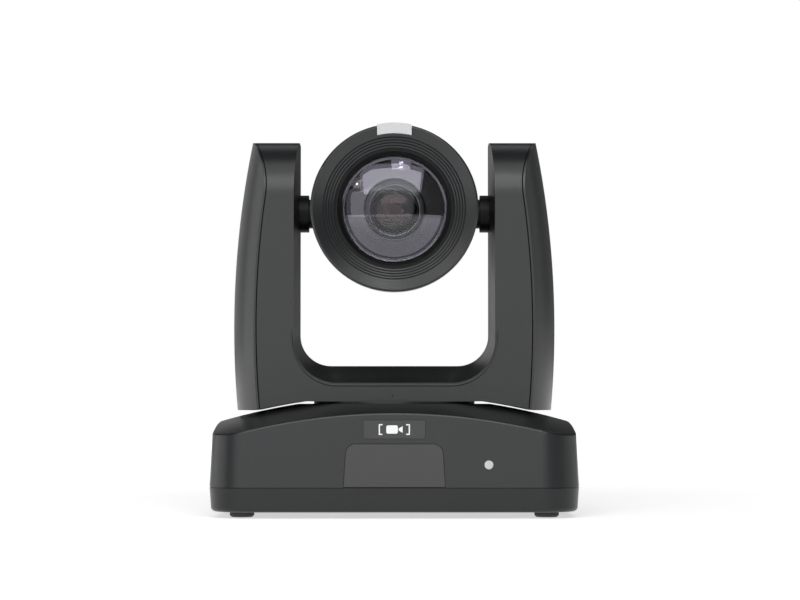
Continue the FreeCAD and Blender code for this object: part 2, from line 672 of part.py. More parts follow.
def base_chassis():
    deck = box("deck", ("-deck_half", "deck_half"), ("-deck_reach", "deck_reach"), ("deck_level", DECK))
    sides = [box("deck_side", (a, b), ("-deck_reach", "deck_reach"), (FLOOR, "deck_level"))
             for a, b in (("-deck_half", "-deck_half + sheet_thick"), ("deck_half - sheet_thick", "deck_half"))]
    holes = [rod("shaft_way", "z", "bearing_bore + ring_wall + 1", "deck_level - 1", DECK + " + 1"),
             rod("boss_way", "z", "5 + fit_gap", "deck_level - 1", DECK + " + 1", MOTOR_X, MOTOR_Y)]
    holes += [box("side_cutout", ("-deck_half - 1", "deck_half + 1"), ("-26", "26"),
                  (FLOOR + " - 1", FLOOR + " + 14"))]
    return cut("base_chassis", fuse("chassis_whole", deck, *sides), *holes)


def pan_bearing():
    half = "bearing_width / 2"
    middle = "(%s + %s)" % (RACE_LOW, half)
    groove = doc.addObject("Part::Torus", "race_groove")
    bind(groove, Radius1=BALL_CIRCLE, Radius2="ball_radius + race_gap")
    put(groove, z=middle)
    cut("pan_bearing_outer_ring", tube("outer_blank", "z", "bearing_outer", "bearing_outer - ring_wall",
                                       RACE_LOW, RACE_HIGH), groove)
    cut("pan_bearing_inner_ring", tube("inner_blank", "z", "bearing_bore + ring_wall", "bearing_bore",
                                       RACE_LOW, RACE_HIGH), groove)
    balls = []
    count = int(value("ball_count"))
    for n in range(count):
        ball = doc.addObject("Part::Sphere", "ball")
        bind(ball, Radius="ball_radius")
        angle = "(%d * 360 deg / ball_count)" % n
        balls.append(put(ball, BALL_CIRCLE + " * cos(%s)" % angle, BALL_CIRCLE + " * sin(%s)" % angle, middle))
    fuse("pan_bearing_balls", *balls)
    turned("pan_bearing_housing", "z", [
        (DECK, "bearing_outer - ring_wall + 0.4"), (DECK, "bearing_outer + housing_wall + 6"),
        (DECK + " + 2", "bearing_outer + housing_wall + 6"), (DECK + " + 2", "bearing_outer + housing_wall"),
        (RACE_HIGH + " + 1", "bearing_outer + housing_wall"), (RACE_HIGH + " + 1", "bearing_outer"),
        (RACE_LOW, "bearing_outer"), (RACE_LOW, "bearing_outer - ring_wall + 0.4")])
    turned("pan_retaining_nut", "z", [
        (RACE_LOW + " - 4", "bearing_bore"), (RACE_LOW + " - 4", "bearing_bore + ring_wall - 0.3"),
        (RACE_LOW, "bearing_bore + ring_wall - 0.3"), (RACE_LOW, "bearing_bore")])


def pan_drive():
    top = "(yoke_floor - neck_depth)"
    turned("pan_shaft", "z", [
        (RACE_LOW + " - 9", "cable_bore"), (RACE_LOW + " - 9", "bearing_bore"), (GEAR_HIGH, "bearing_bore"),
        (GEAR_HIGH, "bearing_bore + 8"), (top, "bearing_bore + 8"), (top, "cable_bore")])
    blank = gear("pan_gear_teeth", "pan_teeth", GEAR_LOW, GEAR_HIGH, "0", "0", PAN_YAW)
    hub = rod("pan_gear_hub", "z", "bearing_bore + ring_wall - 0.3", RACE_HIGH, GEAR_LOW)
    bore = rod("pan_gear_bore", "z", "bearing_bore", RACE_HIGH + " - 1", GEAR_HIGH + " + 1")
    cut("pan_gear", fuse("pan_gear_blank", blank, hub), bore)
    disc = turned("turntable_disc", "z", [(top, "cable_bore"), (top, "neck_radius"), ("yoke_floor", "neck_radius"),
                                          ("yoke_floor", "cable_bore")])
    pilots = [rod("turntable_pilot", "z", "screw_radius", YOKE_SCREW_TIP, "yoke_floor + 1", sx + YOKE_SCREW,
                  sy + YOKE_SCREW) for sx, sy in CORNERS]
    cut("turntable", disc, *pilots)
    small = gear("pinion_teeth_part", "pinion_teeth", GEAR_LOW, GEAR_HIGH, MOTOR_X, MOTOR_Y,
                 PAN_YAW - 180 + 180.0 / value("pinion_teeth"))
    spindle = rod("pinion_spindle", "z", "motor_shaft", "deck_level - 14", GEAR_HIGH, MOTOR_X, MOTOR_Y)
    fuse("pan_pinion", small, spindle)
    can = rod("pan_motor_can", "z", "motor_radius", "deck_level - pan_motor_high", "deck_level", MOTOR_X, MOTOR_Y)
    boss = rod("pan_motor_boss", "z", "5", "deck_level", DECK + " + 1.5", MOTOR_X, MOTOR_Y)
    bore = rod("pan_motor_bore", "z", "motor_shaft + shaft_gap", "deck_level - 14 - shaft_gap", DECK + " + 3",
               MOTOR_X, MOTOR_Y)
    cut("pan_motor", fuse("pan_motor_whole", can, boss), bore)
    reach = "(gear_module * (pan_teeth / 2 + 1))"
    fork = box("home_body", (reach + " + 2", reach + " + 9"), ("-4", "4"), (DECK, GEAR_HIGH))
    box_slot = box("home_slot", (reach + " + 1", reach + " + 5"), ("-5", "5"), (GEAR_LOW + " + 1", GEAR_LOW + " + 3"))
    cut("pan_home_sensor", fork, box_slot)
    rod("axis_cable", "z", "cable_radius", BOARD_TOP, "yoke_floor + yoke_wall + 6")


def fastenings():
    tube("tripod_insert", "z", "insert_radius", "tripod_radius", "foot_height", "foot_height + insert_high")
    inserts = []
    for sx, sy in CORNERS:
        inserts.append(tube("bracket_insert", "z", "bracket_insert", "bracket_bore", "foot_height",
                            "foot_height + bracket_high", sx + "bracket_pitch / 2", sy + "bracket_pitch / 2"))
    fuse("bracket_inserts", *inserts)


# ---------------------------------------------------------------- yoke

def side_profile(label, inset):
    """The arms' side view, rounded at the top, run across the whole yoke."""
    half, top, r = "(arm_depth / 2 - %s)" % inset, "(arm_top - %s)" % inset, "(arm_round - %s)" % inset
    points = [("-" + half, "arm_bottom - 8"), (half, "arm_bottom - 8"), (half, top + " - " + r, r),
              (half + " - " + r, top), ("-(%s - %s)" % (half, r), top, r), ("-" + half, top + " - " + r)]
    return prism(label, "yz", points, "2 * bulge_half + 20")


def bulge(label, side, offset):
    """The doubly curved side of one arm: a torus whose axis lies across the camera."""
    ring = doc.addObject("Part::Torus", label)
    turn(ring, (1, 0, 0), 90)
    bind(ring, Radius1="bulge_radius - bulge_section", Radius2="bulge_section - (%s)" % offset)
    return put(ring, "%d * (bulge_half - bulge_radius)" % side, "0", "bulge_level")


def beyond(label, side, offset):
    """Everything outside that curved side."""
    spans = ("40", "bulge_half + 20") if side > 0 else ("-bulge_half - 20", "-40")
    block = box(label + "_block", spans, ("-arm_depth / 2 - 5", "arm_depth / 2 + 5"), ("arm_bottom - 12", "arm_top + 8"))
    return cut(label, block, bulge(label + "_ring", side, offset))


def below(label, offset):
    """Everything under the yoke: flat over the neck, then following the dome down to the arms."""
    top, low = "yoke_floor + " + offset, "arm_bottom + " + offset
    radius = "(dome_radius + dome_gap + %s)" % offset
    centre = "(dome_apex - dome_radius)"
    inner = "sqrt(pow(%s; 2) - pow(%s - %s; 2))" % (radius, top, centre)
    outer = "sqrt(pow(%s; 2) - pow(%s - %s; 2))" % (radius, low, centre)
    far = "(bulge_half + 20)"
    points = [("-" + far, "arm_bottom - 20"), (far, "arm_bottom - 20"), (far, low), (outer, low, radius),
              (inner, top), ("-" + inner, top, radius), ("-" + outer, low), ("-" + far, low)]
    return prism(label, "xz", points, "arm_depth + 20")


def u_points(half, floor, corner):
    high = "arm_top + 20"
    h, f, r = "(%s)" % half, "(%s)" % floor, "(%s)" % corner
    return [(h, high), ("-" + h, high), ("-" + h, f + " + " + r, r), ("-(%s - %s)" % (h, r), f),
            (h + " - " + r, f, r), (h, f + " + " + r)]


def opening(label, offset):
    """The space the head swings in: a wide mouth at the front and back, higher and narrower between."""
    body = body_named(label)
    reach = "(arm_depth / 2 + 1)"
    stations = (("-" + reach, "mouth"), ("0", "crown"), (reach, "mouth"))
    rows = {"mouth": ("mouth_half", "mouth_floor", "mouth_round"), "crown": ("crown_half", "crown_level", "crown_round")}
    sections = []
    for n, (place, row) in enumerate(stations):
        half, floor, corner = rows[row]
        sections.append(outline(body, "%s_section_%d" % (label, n), "xz",
                                u_points("%s + %s" % (half, offset), "%s - %s" % (floor, offset),
                                         "%s + %s" % (corner, offset)), place))
    loft = body.newObject("PartDesign::AdditiveLoft", label + "_loft")
    loft.Profile = sections[0]
    loft.Sections = sections[1:]
    return body


def yoke_casing():
    wall = "yoke_wall"
    solid = cut("yoke_solid", side_profile("yoke_side", "0"), beyond("yoke_right", 1, "skin_thick + skin_gap"),
                beyond("yoke_left", -1, "skin_thick + skin_gap"), below("yoke_under", "0"),
                prism("yoke_mouth", "xz", u_points("liner_half + liner_gap", "liner_floor - liner_gap",
                                                   "liner_round + liner_gap"), "arm_depth + 10"))
    hollow = cut("yoke_hollow", side_profile("yoke_side_inner", wall), below("yoke_under_inner", wall))
    ways = [rod("cable_way", "z", "cable_bore", "yoke_floor - 2", "yoke_floor + 8")]
    ways += [rod("screw_way_yoke", "z", "screw_radius + fit_gap", "yoke_floor - 2", "yoke_floor + 8",
                 sx + YOKE_SCREW, sy + YOKE_SCREW) for sx, sy in CORNERS]
    cut("yoke_shell", solid, hollow, *ways)

    block = common("liner_block", side_profile("liner_side", "0"),
                   prism("liner_outline", "xz", u_points("liner_half", "liner_floor", "liner_round"), "arm_depth + 10"))
    behind = cut("liner_behind", side_profile("liner_side_inner", wall), opening("liner_back", "liner_wall"))
    holes = rod("bush_hole", "x", "bush_radius", "-liner_half - 2", "liner_half + 2", "0", "tilt_level")
    cut("yoke_liner", block, opening("liner_front", "0"), behind, holes)


YOKE_SCREW = "(neck_radius / 2)"


def arm_cover(name, side):
    """A thin skin that laps over the yoke's rim, a lip inside the rim and two screw posts."""
    label = name + "_arm_cover"
    edge = "(yoke_wall + lip_gap)"
    skin_back = "skin_thick"
    lip_back = "(skin_thick + lip_thick)"
    spans = ("bulge_half - 26", "bulge_half + 20") if side > 0 else ("-bulge_half - 20", "-bulge_half + 26")
    room = box(label + "_room", spans, ("-arm_depth", "arm_depth"), ("arm_bottom - 5", "arm_top + 5"))
    skin = cut(label + "_skin", common(label + "_skin_block", common(label + "_skin_room", room,
               side_profile(label + "_side", "0")), bulge(label + "_face", side, "0")),
               bulge(label + "_skin_back", side, skin_back), below(label + "_under", "0"))
    lip = cut(label + "_lip", common(label + "_lip_block", common(label + "_lip_room", room,
              side_profile(label + "_side_lip", edge)), bulge(label + "_lip_face", side, skin_back)),
              bulge(label + "_lip_back", side, lip_back), below(label + "_under_lip", edge))
    posts = []
    for level in (POST_LOW, POST_HIGH):
        start, end = UPRIGHT_OUT, "(bulge_half + 5)"
        if side < 0:
            start, end = "-" + end, "-" + start
        posts.append(rod(label + "_post", "x", "3.2", start, end, "0", level))
    trimmed = common(label + "_posts", fuse(label + "_posts_long", *posts), bulge(label + "_post_end", side, skin_back))
    return fuse(label, skin, lip, trimmed)


UPRIGHT_OUT = "(upright_x + bracket_sheet)"
POST_LOW = "(yoke_floor + 12)"
POST_HIGH = "(arm_top - 10)"
CRADLE = "(yoke_floor + yoke_wall)"
YOKE_SCREW_TIP = "(yoke_floor + yoke_wall + bracket_sheet - 10)"


def yoke_chassis():
    plate = box("cradle", ("-" + UPRIGHT_OUT, UPRIGHT_OUT), ("-cradle_half", "cradle_half"),
                (CRADLE, CRADLE + " + bracket_sheet"))
    arms = [box("upright", (a, b), ("-upright_half", "upright_half"), (CRADLE, "arm_top - 5"))
            for a, b in (("-" + UPRIGHT_OUT, "-upright_x"), ("upright_x", UPRIGHT_OUT))]
    ways = [rod("spigot_way", "x", "bush_spigot", "-%s - 1" % UPRIGHT_OUT, UPRIGHT_OUT + " + 1", "0", "tilt_level"),
            rod("cradle_way", "z", "cable_bore", CRADLE + " - 1", CRADLE + " + 3")]
    ways += [rod("cradle_screw_way", "z", "screw_radius + fit_gap", CRADLE + " - 1", CRADLE + " + 3",
                 sx + YOKE_SCREW, sy + YOKE_SCREW) for sx, sy in CORNERS]
    return cut("yoke_chassis", fuse("yoke_chassis_whole", plate, *arms), *ways)


def yoke_screws():
    screws = []
    seat = "(%s + bracket_sheet)" % CRADLE
    for sx, sy in CORNERS:
        screws.append(turned("yoke_screw", "z", [
            (YOKE_SCREW_TIP, "0"), (YOKE_SCREW_TIP, "screw_radius"), (seat, "screw_radius"), (seat, "screw_head"),
            (seat + " + 2", "screw_head"), (seat + " + 2", "0")], sx + YOKE_SCREW, sy + YOKE_SCREW))
    fuse("yoke_screws", *screws)


DRIVE_IN = "(%s + tilt_motor_high)" % UPRIGHT_OUT
PULLEY_IN = "(%s + 0.6)" % DRIVE_IN
PULLEY_OUT = "(%s + belt_width + 2 * pulley_rim + 0.4)" % PULLEY_IN
TILT_PITCH = "(belt_pitch * tilt_teeth / 2 / pi)"
DRIVE_PITCH = "(belt_pitch * drive_teeth / 2 / pi)"
DRIVE_LEVEL = "(tilt_level - drive_centre)"
SLEEVE = "(head_radius - barrel_step - head_wall)"
SPIGOT = "(-head_front + bezel_depth + 4)"


def inside(place):
    """The barrel's inner radius at a place along the lens axis."""
    return "(%s - barrel_fall * (%s - %s) / (barrel_rear - %s))" % (SLEEVE, place, SPIGOT, SPIGOT)


TRUNNION_END = "(%s - 4)" % inside("0")


def tilt_axis():
    bushes, trunnions = [], []
    for name, side in (("left", -1), ("right", 1)):
        sign = "-" if side < 0 else ""
        bushes.append(turned(name + "_bush", "x", [
            (sign + "bush_face", "trunnion_radius + shaft_gap"), (sign + "bush_face", "bush_radius"),
            (sign + "upright_x", "bush_radius"), (sign + "upright_x", "bush_spigot"),
            (sign + "(%s + 2)" % UPRIGHT_OUT, "bush_spigot"),
            (sign + "(%s + 2)" % UPRIGHT_OUT, "trunnion_radius + shaft_gap")], z="tilt_level"))
        tip = PULLEY_OUT if side < 0 else "(%s + 6)" % UPRIGHT_OUT
        trunnions.append(turned(name + "_trunnion", "x", [
            (sign + TRUNNION_END, "0"), (sign + TRUNNION_END, "trunnion_flange"),
            (sign + "(bush_face - bush_gap)", "trunnion_flange"), (sign + "(bush_face - bush_gap)", "trunnion_radius"),
            (sign + tip, "trunnion_radius"), (sign + tip, "0")], z="tilt_level"))
    fuse("trunnion_bushes", *bushes)
    fuse("head_trunnions", *trunnions)


def pulley(label, pitch, bore, level):
    rim = "(%s + belt_thick + 0.6)" % pitch
    inner, outer = "-" + PULLEY_IN, "-" + PULLEY_OUT
    return turned(label, "x", [
        (outer, bore), (outer, rim), ("%s + pulley_rim" % outer, rim), ("%s + pulley_rim" % outer, pitch),
        ("%s - pulley_rim" % inner, pitch), ("%s - pulley_rim" % inner, rim), (inner, rim), (inner, bore)], z=level)


def belt():
    """A closed loop round both pulleys: two arcs joined by their outer tangents."""
    body = body_named("tilt_belt")
    middle = "(-(%s + %s) / 2)" % (PULLEY_IN, PULLEY_OUT)
    lean = "asin((%s - %s) / drive_centre)" % (TILT_PITCH, DRIVE_PITCH)

    def loop(label, grow):
        big, small = "(%s + %s)" % (TILT_PITCH, grow), "(%s + %s)" % (DRIVE_PITCH, grow)
        top, low = "(tilt_level - %s * sin(%s))" % (big, lean), "(%s - %s * sin(%s))" % (DRIVE_LEVEL, small, lean)
        points = [("(%s * cos(%s))" % (big, lean), top, big), ("-(%s * cos(%s))" % (big, lean), top),
                  ("-(%s * cos(%s))" % (small, lean), low, small), ("(%s * cos(%s))" % (small, lean), low)]
        return long_loop(body, label, points, middle)

    pad = body.newObject("PartDesign::Pad", "belt_pad")
    pad.Profile = loop("belt_outside", "belt_gap + belt_thick")
    bind(pad, Length="belt_width")
    pad.SideType = "Symmetric"
    hollow = body.newObject("PartDesign::Pocket", "belt_hollow")
    hollow.Profile = loop("belt_inside", "belt_gap")
    bind(hollow, Length="2 * belt_width")
    hollow.SideType = "Symmetric"
    return body


def long_loop(body, label, points, level):
    """An outline whose first arc is the long way round: its top point is added."""
    (rx, rz, big), left, low, right = points
    top = "(tilt_level + %s)" % big
    return outline(body, label, "yz", [(rx, rz, big), ("0", top, big), left, low, right], level)


def tilt_drive():
    pulley("tilt_pulley", TILT_PITCH, "trunnion_radius", "tilt_level")
    small = pulley("tilt_drive_rim", DRIVE_PITCH, "motor_shaft", DRIVE_LEVEL)
    spindle = rod("tilt_spindle", "x", "motor_shaft", "-" + PULLEY_OUT, "-%s - 3" % UPRIGHT_OUT, "0", DRIVE_LEVEL)
    fuse("tilt_motor_pulley", small, spindle)
    can = rod("tilt_motor_can", "x", "motor_radius", "-" + DRIVE_IN, "-" + UPRIGHT_OUT, "0", DRIVE_LEVEL)
    bore = rod("tilt_motor_bore", "x", "motor_shaft + shaft_gap", "-%s - 1" % DRIVE_IN,
               "-%s - 3 + shaft_gap" % UPRIGHT_OUT, "0", DRIVE_LEVEL)
    cut("tilt_motor", can, bore)
    belt()
    box("tilt_home_sensor", (UPRIGHT_OUT, UPRIGHT_OUT + " + 6"), ("bush_spigot + 1", "upright_half"),
        ("tilt_level - 4", "tilt_level + 4"))
    sheet_part = box("driver_sheet", (UPRIGHT_OUT + " + 3", UPRIGHT_OUT + " + 3 + board_thick"),
                     ("-13", "13"), ("yoke_floor + 20", "tilt_level - 16"))
    feet = [rod("driver_foot", "x", "2", UPRIGHT_OUT, UPRIGHT_OUT + " + 3", y, level)
            for y in ("-10", "10") for level in ("yoke_floor + 24", "tilt_level - 20")]
    chip = box("driver_chip", (UPRIGHT_OUT + " + 3 + board_thick", UPRIGHT_OUT + " + 5 + board_thick"),
               ("-6", "6"), ("yoke_floor + 34", "yoke_floor + 46"))
    fuse("driver_board", sheet_part, chip, *feet)


# ---------------------------------------------------------------- head

LENS = "(tilt_level - lens_drop)"
RIM = "(-head_front)"
BARREL = "(head_radius - barrel_step)"


def front_bezel():
    """The ring round the lens: its face sinks towards the glass, with fine concentric grooves."""
    fall = "(bezel_fall / (head_radius - bezel_round - bezel_bore))"

    def face(radius):
        return "(-head_front + %s * (head_radius - bezel_round - (%s)))" % (fall, radius)

    points = [(RIM, "head_radius - bezel_round", "-bezel_round"), (RIM + " + bezel_round", "head_radius"),
              (RIM + " + bezel_depth", "head_radius"), (RIM + " + bezel_depth", LAP),
              (SPIGOT, LAP), (SPIGOT, SLEEVE),
              (SHOULDER, SLEEVE), (SHOULDER, "bezel_bore"), (face("bezel_bore"), "bezel_bore")]
    for n in range(4, -1, -1):
        middle = "(groove_outer - %d * groove_pitch)" % n
        inner, outer = middle + " - groove_deep", middle + " + groove_deep"
        points += [(face(inner), inner), (face(middle) + " + groove_deep", middle), (face(outer), outer)]
    ring = turned("bezel_ring", "y", points, z=LENS)
    cut("front_bezel", ring, tally_block("tally_notch", "fit_gap / 2"))
    tally_block("tally_light", "0")


def tally_block(label, grow):
    """The lamp strip over the rim, or the notch it sits in."""
    arc = tube(label + "_arc", "y", "head_radius + tally_proud + " + grow, "tally_inner",
               RIM + " - 0.4 - " + grow, RIM + " + tally_back + " + grow, "0", LENS)
    block = box(label + "_block", ("-tally_half - " + grow, "tally_half + " + grow), (RIM + " - 5", RIM + " + 15"),
                (LENS + " + 20", LENS + " + 60"))
    return common(label, arc, block)


LAP = "(head_radius - barrel_step - barrel_lap)"
SHOULDER = "(-head_front + bezel_fall + 3)"


def head_casing():
    joint = RIM + " + bezel_depth + 0.4"
    outer, inner = "(%s - barrel_fall)" % BARREL, "(%s - barrel_fall)" % SLEEVE
    lap = "(%s - barrel_lap)" % outer
    sleeve = turned("barrel_sleeve", "y", [
        (joint, BARREL), ("barrel_rear", outer), ("barrel_rear", inner), (SPIGOT, SLEEVE), (SPIGOT, LAP),
        (joint, LAP)], z=LENS)
    holes = rod("trunnion_hole", "x", "trunnion_flange", "-head_radius - 2", "head_radius + 2", "0", "tilt_level")
    cut("head_barrel", sleeve, holes)
    r, middle = "cap_round", "(%s - cap_round)" % outer
    turned("head_rear_cap", "y", [
        ("barrel_rear + 0.4", outer), ("barrel_rear + 0.4", lap), ("barrel_rear", lap),
        ("barrel_rear", inner), ("head_rear - " + r, inner, "-(cap_round - head_wall)"),
        ("head_rear - head_wall", middle), ("head_rear - head_wall", "0"), ("head_rear", "0"),
        ("head_rear", middle, r), ("head_rear - " + r, outer)], z=LENS)
    block = box("frame_block", ("-" + TRUNNION_END, TRUNNION_END), ("-9", "9"), (LENS + " - 32", LENS + " + 32"))
    within = turned("frame_round", "y", [("-10", "0"), ("-10", inside("-10")), ("10", inside("10")), ("10", "0")],
                    z=LENS)
    bore = rod("frame_bore", "y", "tube_radius", "-11", "11", "0", LENS)
    cut("head_frame", common("frame_common", block, within), bore)


TUBE_BORE = "(tube_radius - tube_wall)"
GLASS_EDGE = "(-glass_edge)"


def lens_shape(label, radius, front, crown, back):
    """A lens with a convex front: the cap's radius follows from its height."""
    curve = "((pow(%s; 2) + pow(%s; 2)) / 2 / (%s))" % (radius, crown, crown)
    return turned(label, "y", [
        ("%s - %s" % (front, crown), "0", "-" + curve), (front, radius), (back, radius), (back, "0")], z=LENS)


def optics():
    glass_back = "(-glass_edge + glass_thick)"
    lens_shape("front_lens", TUBE_BORE, GLASS_EDGE, "glass_crown", glass_back)
    turned("lens_barrel", "y", [
        (GLASS_EDGE, "tube_radius"), (SHOULDER, "tube_radius"), (SHOULDER, "tube_radius + 8"),
        (SHOULDER + " + 2", "tube_radius + 8"), (SHOULDER + " + 2", "tube_radius"), ("tube_rear", "tube_radius"),
        ("tube_rear", TUBE_BORE + " - 1"), (glass_back, TUBE_BORE + " - 1"), (glass_back, TUBE_BORE),
        (GLASS_EDGE, TUBE_BORE)], z=LENS)
    turned("lens_hood", "y", [
        ("-hood_front", "bezel_bore - 0.8"), ("-hood_front", "bezel_bore - fit_gap"),
        (GLASS_EDGE, "bezel_bore - fit_gap"), (GLASS_EDGE, "hood_bore"), (GLASS_EDGE + " - 0.8", "hood_bore")],
        z=LENS)
    baffle = "(-baffle_front)"
    turned("lens_baffle", "y", [
        (baffle, TUBE_BORE + " - 1"), (baffle, "baffle_bore + 3.3"), (baffle + " - 3", "baffle_bore + 2.3"),
        (baffle + " - 3", "baffle_bore + 0.6"), (baffle + " - 1", "baffle_bore"), (baffle + " + 3", "baffle_bore"),
        (baffle + " + 3", TUBE_BORE + " - 1")], z=LENS)
    lens_shape("inner_lens", "baffle_bore", baffle, "2.2", baffle + " + 3")
    tube("iris_diaphragm", "y", TUBE_BORE + " - 1", "4.2", "iris_place", "iris_place + 1", "0", LENS)
    rods = [rod("guide_rod", "y", "rod_radius", "iris_place + 1", "tube_rear", sign + "rod_offset", LENS)
            for sign in ("-", "")]
    fuse("guide_rods", *rods)
    for name, place in (("zoom", "zoom_place"), ("focus", "focus_place")):
        half = "carriage_thick / 2"
        low, high = "%s - %s" % (place, half), "%s + %s" % (place, half)
        disc = rod(name + "_disc", "y", TUBE_BORE + " - 1.6", low, high, "0", LENS)
        ways = [rod(name + "_way", "y", "rod_radius + shaft_gap", low + " - 1", high + " + 1",
                    sign + "rod_offset", LENS) for sign in ("-", "")]
        ways.append(rod(name + "_seat", "y", "9", low + " - 1", high + " + 1", "0", LENS))
        cell = cut(name + "_cell", disc, *ways)
        lens = lens_shape(name + "_lens", "9", "(%s - %s + 1.5)" % (place, half), "1.4", high)
        group = doc.addObject("Part::Compound", name + "_carriage")
        group.Links = [cell, lens]
    sensor = box("sensor_chip", ("-5", "5"), ("tube_rear - 1.5", "tube_rear"), (LENS + " - 4", LENS + " + 4"))
    sheet_part = box("sensor_sheet_head", ("-21", "21"), ("tube_rear", "tube_rear + board_thick"),
                     (LENS + " - 21", LENS + " + 21"))
    spacers = [rod("board_spacer", "y", "2", "tube_rear + board_thick", "tube_rear + 11", sx + "18",
                   "%s %s 18" % (LENS, sz or "+")) for sx, sz in CORNERS]
    sensor_side = fuse("sensor_side", sheet_part, sensor, *spacers)
    rear = box("encoder_sheet", ("-24", "24"), ("tube_rear + 11", "tube_rear + 11 + board_thick"),
               (LENS + " - 20", LENS + " + 20"))
    encoder = box("encoder_chip", ("-8", "8"), ("tube_rear + 11 + board_thick", "tube_rear + 15"),
                  (LENS + " - 8", LENS + " + 8"))
    stack = doc.addObject("Part::Compound", "head_boards")
    stack.Links = [sensor_side, fuse("encoder_side", rear, encoder)]


# ---------------------------------------------------------------- the document

NODES = [
    # stand on the table
    "base_tray", "rubber_feet", "tray_screws", "base_cover", "ir_window", "vent_grilles", "badge_plate",
    "status_light_pipe", "front_sensor_board", "rear_io_panel", "dc_jack", "video_usb_ports", "lan_port",
    "serial_ports", "audio_jack", "main_board", "tripod_insert", "bracket_inserts", "base_chassis",
    "pan_bearing_housing", "pan_bearing_outer_ring", "pan_bearing_balls", "pan_motor", "pan_home_sensor",
    "axis_cable",
    # turns beside the pan gear
    "pan_pinion",
    # turn about the pan axis
    "pan_bearing_inner_ring", "pan_retaining_nut", "pan_shaft", "pan_gear", "turntable", "yoke_shell",
    "yoke_liner", "left_arm_cover", "right_arm_cover", "yoke_chassis", "yoke_screws", "trunnion_bushes",
    "tilt_motor", "tilt_belt", "tilt_home_sensor", "driver_board",
    # turns in the left arm
    "tilt_motor_pulley",
    # tilt with the head
    "front_bezel", "tally_light", "head_barrel", "head_rear_cap", "head_frame", "head_trunnions",
    "tilt_pulley", "lens_hood", "front_lens", "lens_barrel", "lens_baffle", "inner_lens", "iris_diaphragm",
    "guide_rods", "head_boards",
    # slide inside the lens
    "zoom_carriage", "focus_carriage",
]


def build():
    base_tray()
    rubber_feet()
    tray_screws()
    base_cover()
    wall_panels()
    front_sensor_board()
    rear_electronics()
    fastenings()
    base_chassis()
    pan_bearing()
    pan_drive()
    yoke_casing()
    arm_cover("left", -1)
    arm_cover("right", 1)
    yoke_chassis()
    yoke_screws()
    tilt_axis()
    tilt_drive()
    front_bezel()
    head_casing()
    optics()
    doc.recompute()


def check_and_write():
    faults = [o.Label for o in doc.Objects if {"Invalid", "Error"} & set(o.State)]
    pieces = {o.Label: o for o in doc.Objects if o.Label in NODES}
    faults += [name for name in NODES if name not in pieces]
    faults += [name for name, o in pieces.items() if o.Shape.isNull() or not o.Shape.isValid() or not o.Shape.Solids]
    if faults:
        raise RuntimeError("not built: " + ", ".join(sorted(set(faults))))
    os.makedirs("parts", exist_ok=True)
    for name in NODES:
        shape = pieces[name].Shape
        shape.exportStep("parts/%s.step" % name)
        room = shape.BoundBox
        print("%-26s %2d solids %10.1f mm3  x %7.1f %6.1f  y %6.1f %6.1f  z %6.1f %6.1f" % (
            name, len(shape.Solids), shape.Volume, room.XMin, room.XMax, room.YMin, room.YMax, room.ZMin, room.ZMax))


build()
check_and_write()
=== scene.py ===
import json
import math

import bmesh
import bpy
from mathutils import Matrix, Vector


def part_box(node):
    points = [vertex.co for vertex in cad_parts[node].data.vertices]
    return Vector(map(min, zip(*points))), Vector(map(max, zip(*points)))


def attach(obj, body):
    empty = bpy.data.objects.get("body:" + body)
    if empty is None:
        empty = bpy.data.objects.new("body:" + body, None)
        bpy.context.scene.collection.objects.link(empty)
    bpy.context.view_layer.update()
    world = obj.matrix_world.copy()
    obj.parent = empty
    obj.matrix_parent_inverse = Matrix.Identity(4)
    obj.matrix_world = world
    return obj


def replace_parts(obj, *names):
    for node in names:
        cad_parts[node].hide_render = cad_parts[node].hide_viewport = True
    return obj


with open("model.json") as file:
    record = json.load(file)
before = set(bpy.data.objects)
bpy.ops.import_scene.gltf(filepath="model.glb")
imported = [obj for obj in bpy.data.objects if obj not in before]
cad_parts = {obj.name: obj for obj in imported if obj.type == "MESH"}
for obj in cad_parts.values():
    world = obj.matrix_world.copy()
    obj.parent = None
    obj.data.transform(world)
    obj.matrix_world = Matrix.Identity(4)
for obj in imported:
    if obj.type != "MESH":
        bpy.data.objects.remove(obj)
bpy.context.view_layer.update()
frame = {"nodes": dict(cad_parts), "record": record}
nodes = frame["nodes"]
mm = 0.001
weld = 0.000002  # corners closer than this are one
noiseMiddle = 0.5  # the level that a noise swings about
scene = bpy.context.scene

# the camera comes first, so everything below is judged through it

camera = {"place": (0.0, -1.2, 0.057), "lens": 105.6, "sensor": 36.0, "pitch": 2.44, "yaw": -0.138,
          "clip": (0.01, 50)}
cameraData = bpy.data.cameras.new("studioCamera")
cameraData.lens = camera["lens"]
cameraData.sensor_width = camera["sensor"]
cameraData.clip_start, cameraData.clip_end = camera["clip"]
cameraObject = bpy.data.objects.new("studioCamera", cameraData)
cameraObject.location = camera["place"]
cameraObject.rotation_euler = (math.radians(90 + camera["pitch"]), 0, math.radians(camera["yaw"]))
scene.collection.objects.link(cameraObject)
scene.camera = cameraObject
scene.view_settings.view_transform = "Standard"


